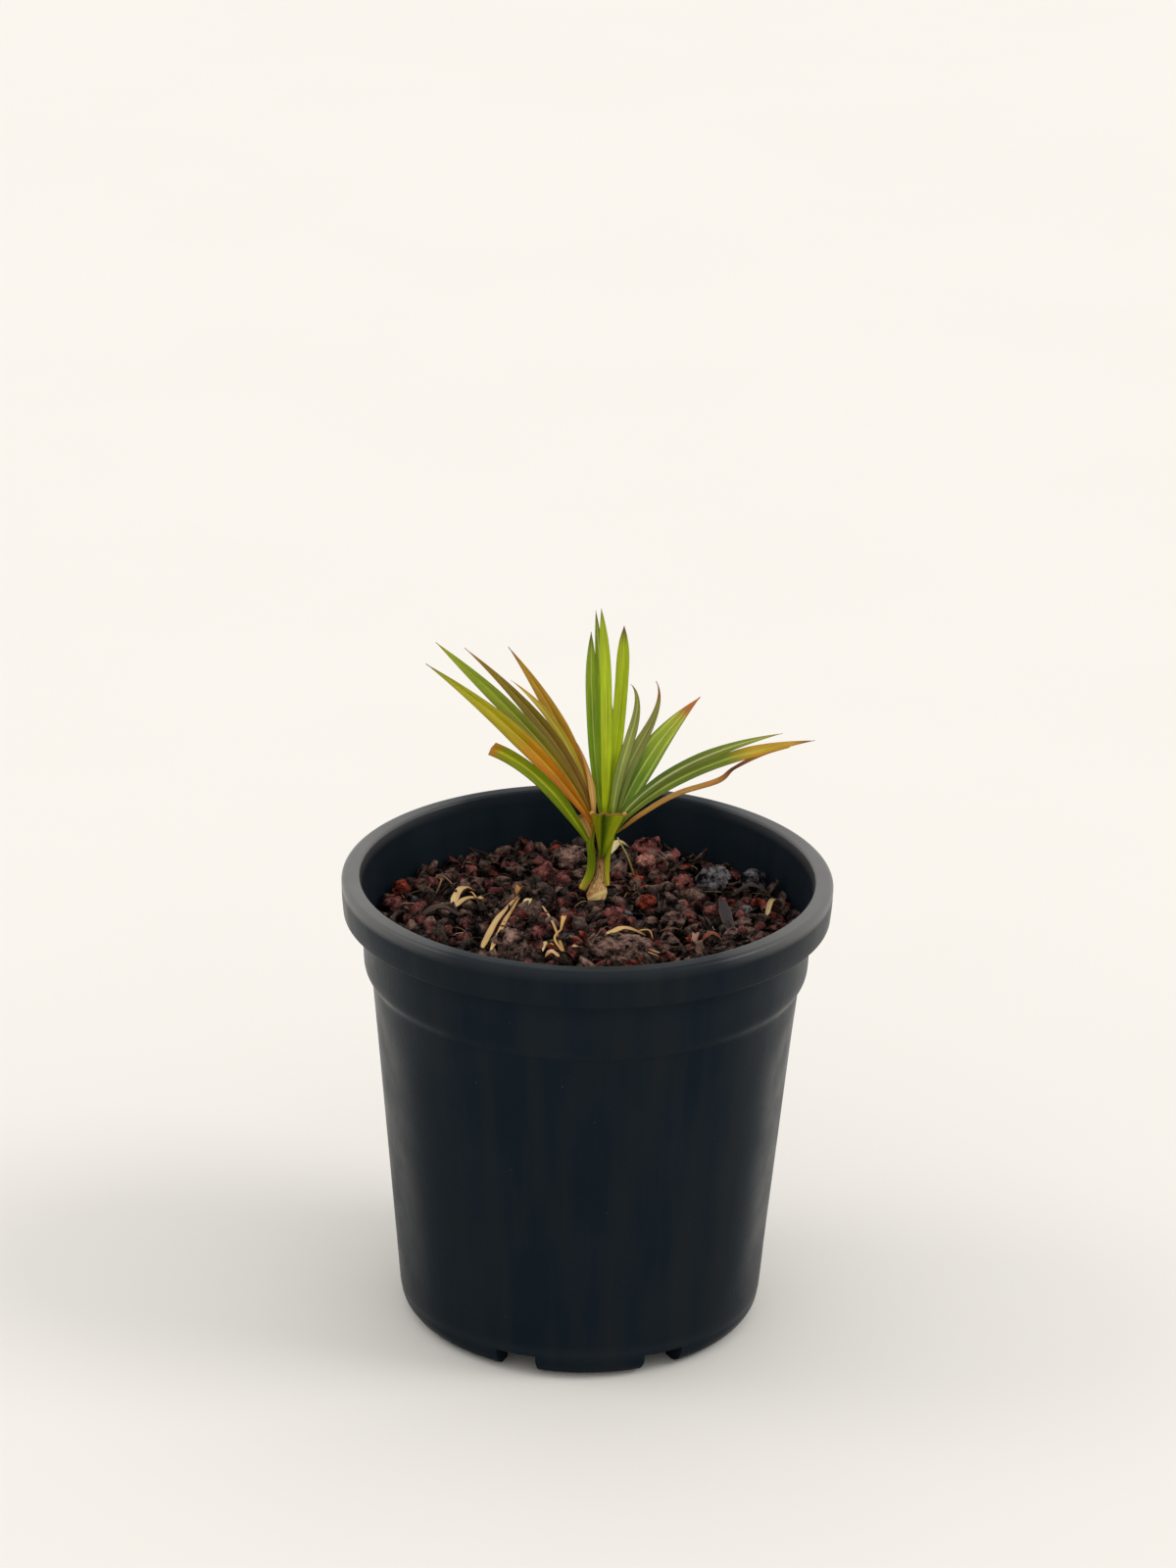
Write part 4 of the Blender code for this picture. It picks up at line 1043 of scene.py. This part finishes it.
bits = {  # loose scraps drawn in the scene alone, laid out as above
    "strawStrip": (((-38.4, -33.0), (-33.2, -6.0), (-27.4, 25.0)), (2.2, 1.7, 0.7), 2.2, ((220, 186, 120),
        (204, 166, 104), (190, 140, 80)), 0.4),
    "strawKnotEnd": (((-29.6, 24.0), (-28.0, 27.0), (-26.4, 30.0)), (1.6, 3.0, 1.4), 2.6, ((188, 124, 62),
        (206, 142, 80), (150, 96, 50)), 0.9),
    "leafBitFar": (((-55.4, 15.0), (-52.0, 25.5), (-46.8, 30.0)), (3.4, 3.2, 2.4), 2.4, ((232, 202, 146),
        (220, 184, 124), (196, 150, 96)), 0.5),
    "leafBitNear": (((-46.6, 21.0), (-44.0, 17.6), (-41.4, 18.6)), (1.6, 2.8, 2.2), 1.8, ((190, 150, 100),
        (226, 190, 136), (206, 168, 116)), 0.6),
    "leafBitThread": (((-49.0, 28.5), (-47.0, 22.0), (-44.6, 17.8)), (0.7, 0.6, 0.7), 2.2, ((214, 176, 120),
        (206, 166, 110), (220, 182, 128)), 0.2),
    "paleTriangle": (((-25.6, 14.6), (-23.9, 18.0), (-23.2, 22.4)), (3.8, 2.6, 0.5), 1.6, ((236, 220, 160),
        (230, 208, 148), (206, 176, 116)), 0.4),
    "twigLeaf": (((-10.6, -10.0), (-9.4, -2.4), (-9.0, 4.4)), (0.6, 2.2, 0.6), 2.4, ((206, 160, 92),
        (226, 184, 112), (196, 150, 86)), 0.6),
    "twigFork": (((-8.4, -35.6), (-12.8, -22.0), (-9.6, -6.0)), (1.0, 0.9, 0.8), 2.2, ((196, 146, 84),
        (216, 170, 104), (206, 158, 92)), 0.3),
    "seedLeaf": (((-17.4, -31.4), (-17.0, -27.0), (-19.0, -22.6)), (0.8, 2.6, 0.6), 1.8, ((230, 214, 160),
        (236, 222, 150), (206, 186, 120)), 0.5),
    "tanScrapNear": (((-7.4, -28.6), (-4.6, -29.8), (-2.0, -27.6)), (1.0, 2.8, 1.4), 1.8, ((206, 156, 110),
        (222, 178, 130), (190, 140, 96)), 0.4),
    "tanScrapEdge": (((-16.4, -37.6), (-14.0, -36.6), (-10.4, -38.2)), (1.0, 3.2, 1.6), 1.8, ((196, 138, 96),
        (226, 184, 140), (206, 160, 116)), 0.4),
    "frontCurl": (((20.0, -10.4), (25.2, -11.4), (27.0, -16.0)), (1.3, 0.8, 0.5), 1.6, ((220, 186, 124),
        (200, 156, 100), (170, 120, 72)), 0.6),
    "rootHair": (((22.6, -17.6), (24.6, -30.0), (33.0, -34.4)), (0.5, 0.8, 0.6), 1.4, ((206, 176, 130),
        (190, 150, 104), (214, 184, 140)), 0.2),
    "rootHairLow": (((27.6, -25.0), (24.0, -33.0), (30.4, -36.8)), (0.4, 0.7, 0.6), 1.4, ((190, 150, 104),
        (206, 170, 124), (186, 146, 100)), 0.2),
    "creamBit": (((9.6, 73.0), (13.0, 78.6), (18.0, 80.0)), (2.8, 4.2, 1.2), 2.8, ((240, 222, 176),
        (230, 204, 150), (196, 156, 100)), 0.5),
    "tanBark": (((43.2, -24.0), (44.2, -17.6), (43.6, -11.6)), (2.0, 2.9, 1.4), 2.4, ((150, 110, 90),
        (176, 132, 112), (130, 92, 78)), 0.8),
    "rustBark": (((46.6, -19.0), (50.8, -17.2), (55.0, -17.8)), (2.0, 3.0, 1.4), 2.2, ((120, 60, 44),
        (146, 78, 58), (110, 58, 44)), 0.8),
    "fibreTuft": (((-66.0, 33.0), (-61.0, 38.0), (-55.0, 33.6)), (0.5, 0.9, 0.4), 3.0, ((150, 112, 80),
        (120, 86, 60), (166, 128, 92)), 0.3),
    "fibreTuftCross": (((-63.4, 41.0), (-60.6, 34.6), (-62.4, 27.0)), (0.5, 0.8, 0.4), 2.6, ((96, 66, 50),
        (140, 104, 74), (110, 80, 58)), 0.3),
    "barkCurlLeft": (((-68.0, 2.0), (-60.0, 6.0), (-52.0, 4.0)), (2.6, 3.6, 1.2), 2.6, ((54, 44, 40),
        (80, 66, 58), (44, 36, 34)), 0.7),
    "barkCurlRight": (((60.0, 30.0), (68.0, 33.0), (76.0, 30.0)), (1.4, 2.8, 1.2), 3.0, ((34, 30, 32),
        (56, 50, 52), (34, 30, 32)), 0.7),
}
seedPip = {"place": (-14.3, -23.2), "radius": 1.5, "tone": (226, 200, 96)}
leaningStraw = {"foot": (19.4, 50.8), "tip": (8.8, -3.2, 30.6), "width": 1.1}


def scrapMaterial():
    material, tree, shader = newMaterial("dryBlade", (0.6, 0.45, 0.25), 0.7, 0.25)
    size = coordinates(tree, "UV")
    strands = addNoise(tree, stretched(tree, size, 4.0, 0.18), 1.0, 3.0, 0.65)
    colour = addShade(tree, readTint(tree), strands, (0.3, 0.62), (0.62, 1.0), 0.8)
    tree.links.new(colour, shader.inputs["Base Color"])
    addBump(tree, shader, strands, 0.0003, 0.7)
    return material


def buildScrap(name, values, material, *nodes):
    spots, widths, arch, tones, fold = values
    path = smoothPath([(x, y, 0.0) for x, y in spots], 16)
    columns = 13
    verts, colours, places = [], [], []
    for i, point in enumerate(path):
        share = i / (len(path) - 1)
        tangent = (path[min(i + 1, len(path) - 1)] - path[max(i - 1, 0)]).normalized()
        side = Vector((-tangent.y, tangent.x, 0.0))
        half = 0.5 * float(valueAlong([(w,) for w in widths], share)[0]) * (0.35 + 0.65 * min(
            share * 8, (1 - share) * 8, 1.0))
        curl = 0.3 * noise.noise(Vector((share * 5.0, len(name), 1.0)))
        ground = mixHeight(point.x, point.y) + 1.9 + arch * math.sin(math.pi * share)
        for layer in (1, -1):
            for j in range(columns):
                u = -1.0 + 2.0 * j / (columns - 1)
                u = u if layer == 1 else -u
                rise = fold * half * abs(u) + curl * u * half
                place = point + side * (u * half)
                verts.append(Vector((place.x, place.y, ground + rise + layer * 0.16)) * mm)
                tone = screenColour(*valueAlong(tones, share))
                colours.append(blendColour(tone, (0.2, 0.11, 0.05), 0.5 * smoothStep(0.75, 1.0, abs(u))))
                places.append((u * half + 9 * layer, share * 30.0))
    scrap = addTinted("dry_" + name, verts, slabFaces(len(path), columns), material, colours, places)
    settle(scrap, "dry_straw", *nodes)


def buildLooseBits(material):
    for name, values in scraps.items():
        buildScrap(name, values, material, name)
    for name, values in bits.items():
        buildScrap(name, values, material)
    x, y = seedPip["place"]
    low, r = mixHeight(x, y) + 1.2, seedPip["radius"]
    pip = buildTube("seedPip", [Vector((x, y, low + r * h)) for h in (-0.9, -0.5, 0.0, 0.5, 0.85)],
                    [(r * 0.4, r * 0.4), (r * 0.85, r * 0.85), (r, r), (r * 0.85, r * 0.85), (r * 0.3, r * 0.3)],
                    [seedPip["tone"]] * 5, material, steps=4, sides=20)
    settle(pip, "dry_straw")
    foot = Vector((*leaningStraw["foot"], mixHeight(*leaningStraw["foot"]) + 0.9))
    tip = plantPoint(*leaningStraw["tip"])
    reach = leaningStraw["width"] / 2
    straw = buildTube("leaningStrawStalk", [foot, (foot + tip) / 2 + Vector((0.6, 0, 0.3)), tip],
                      [(reach * 0.8, reach * 0.8), (reach * 0.7, reach * 0.7), (reach * 0.5, reach * 0.5)],
                      [(176, 128, 70), (214, 196, 160), (226, 210, 176)], material, sides=10)
    settle(straw, "dry_straw", "leaning_straw")


drySkin = scrapMaterial()
buildLooseBits(drySkin)
scatterFibres("fineFibres", fibres, drySkin)
print("dry scraps built")
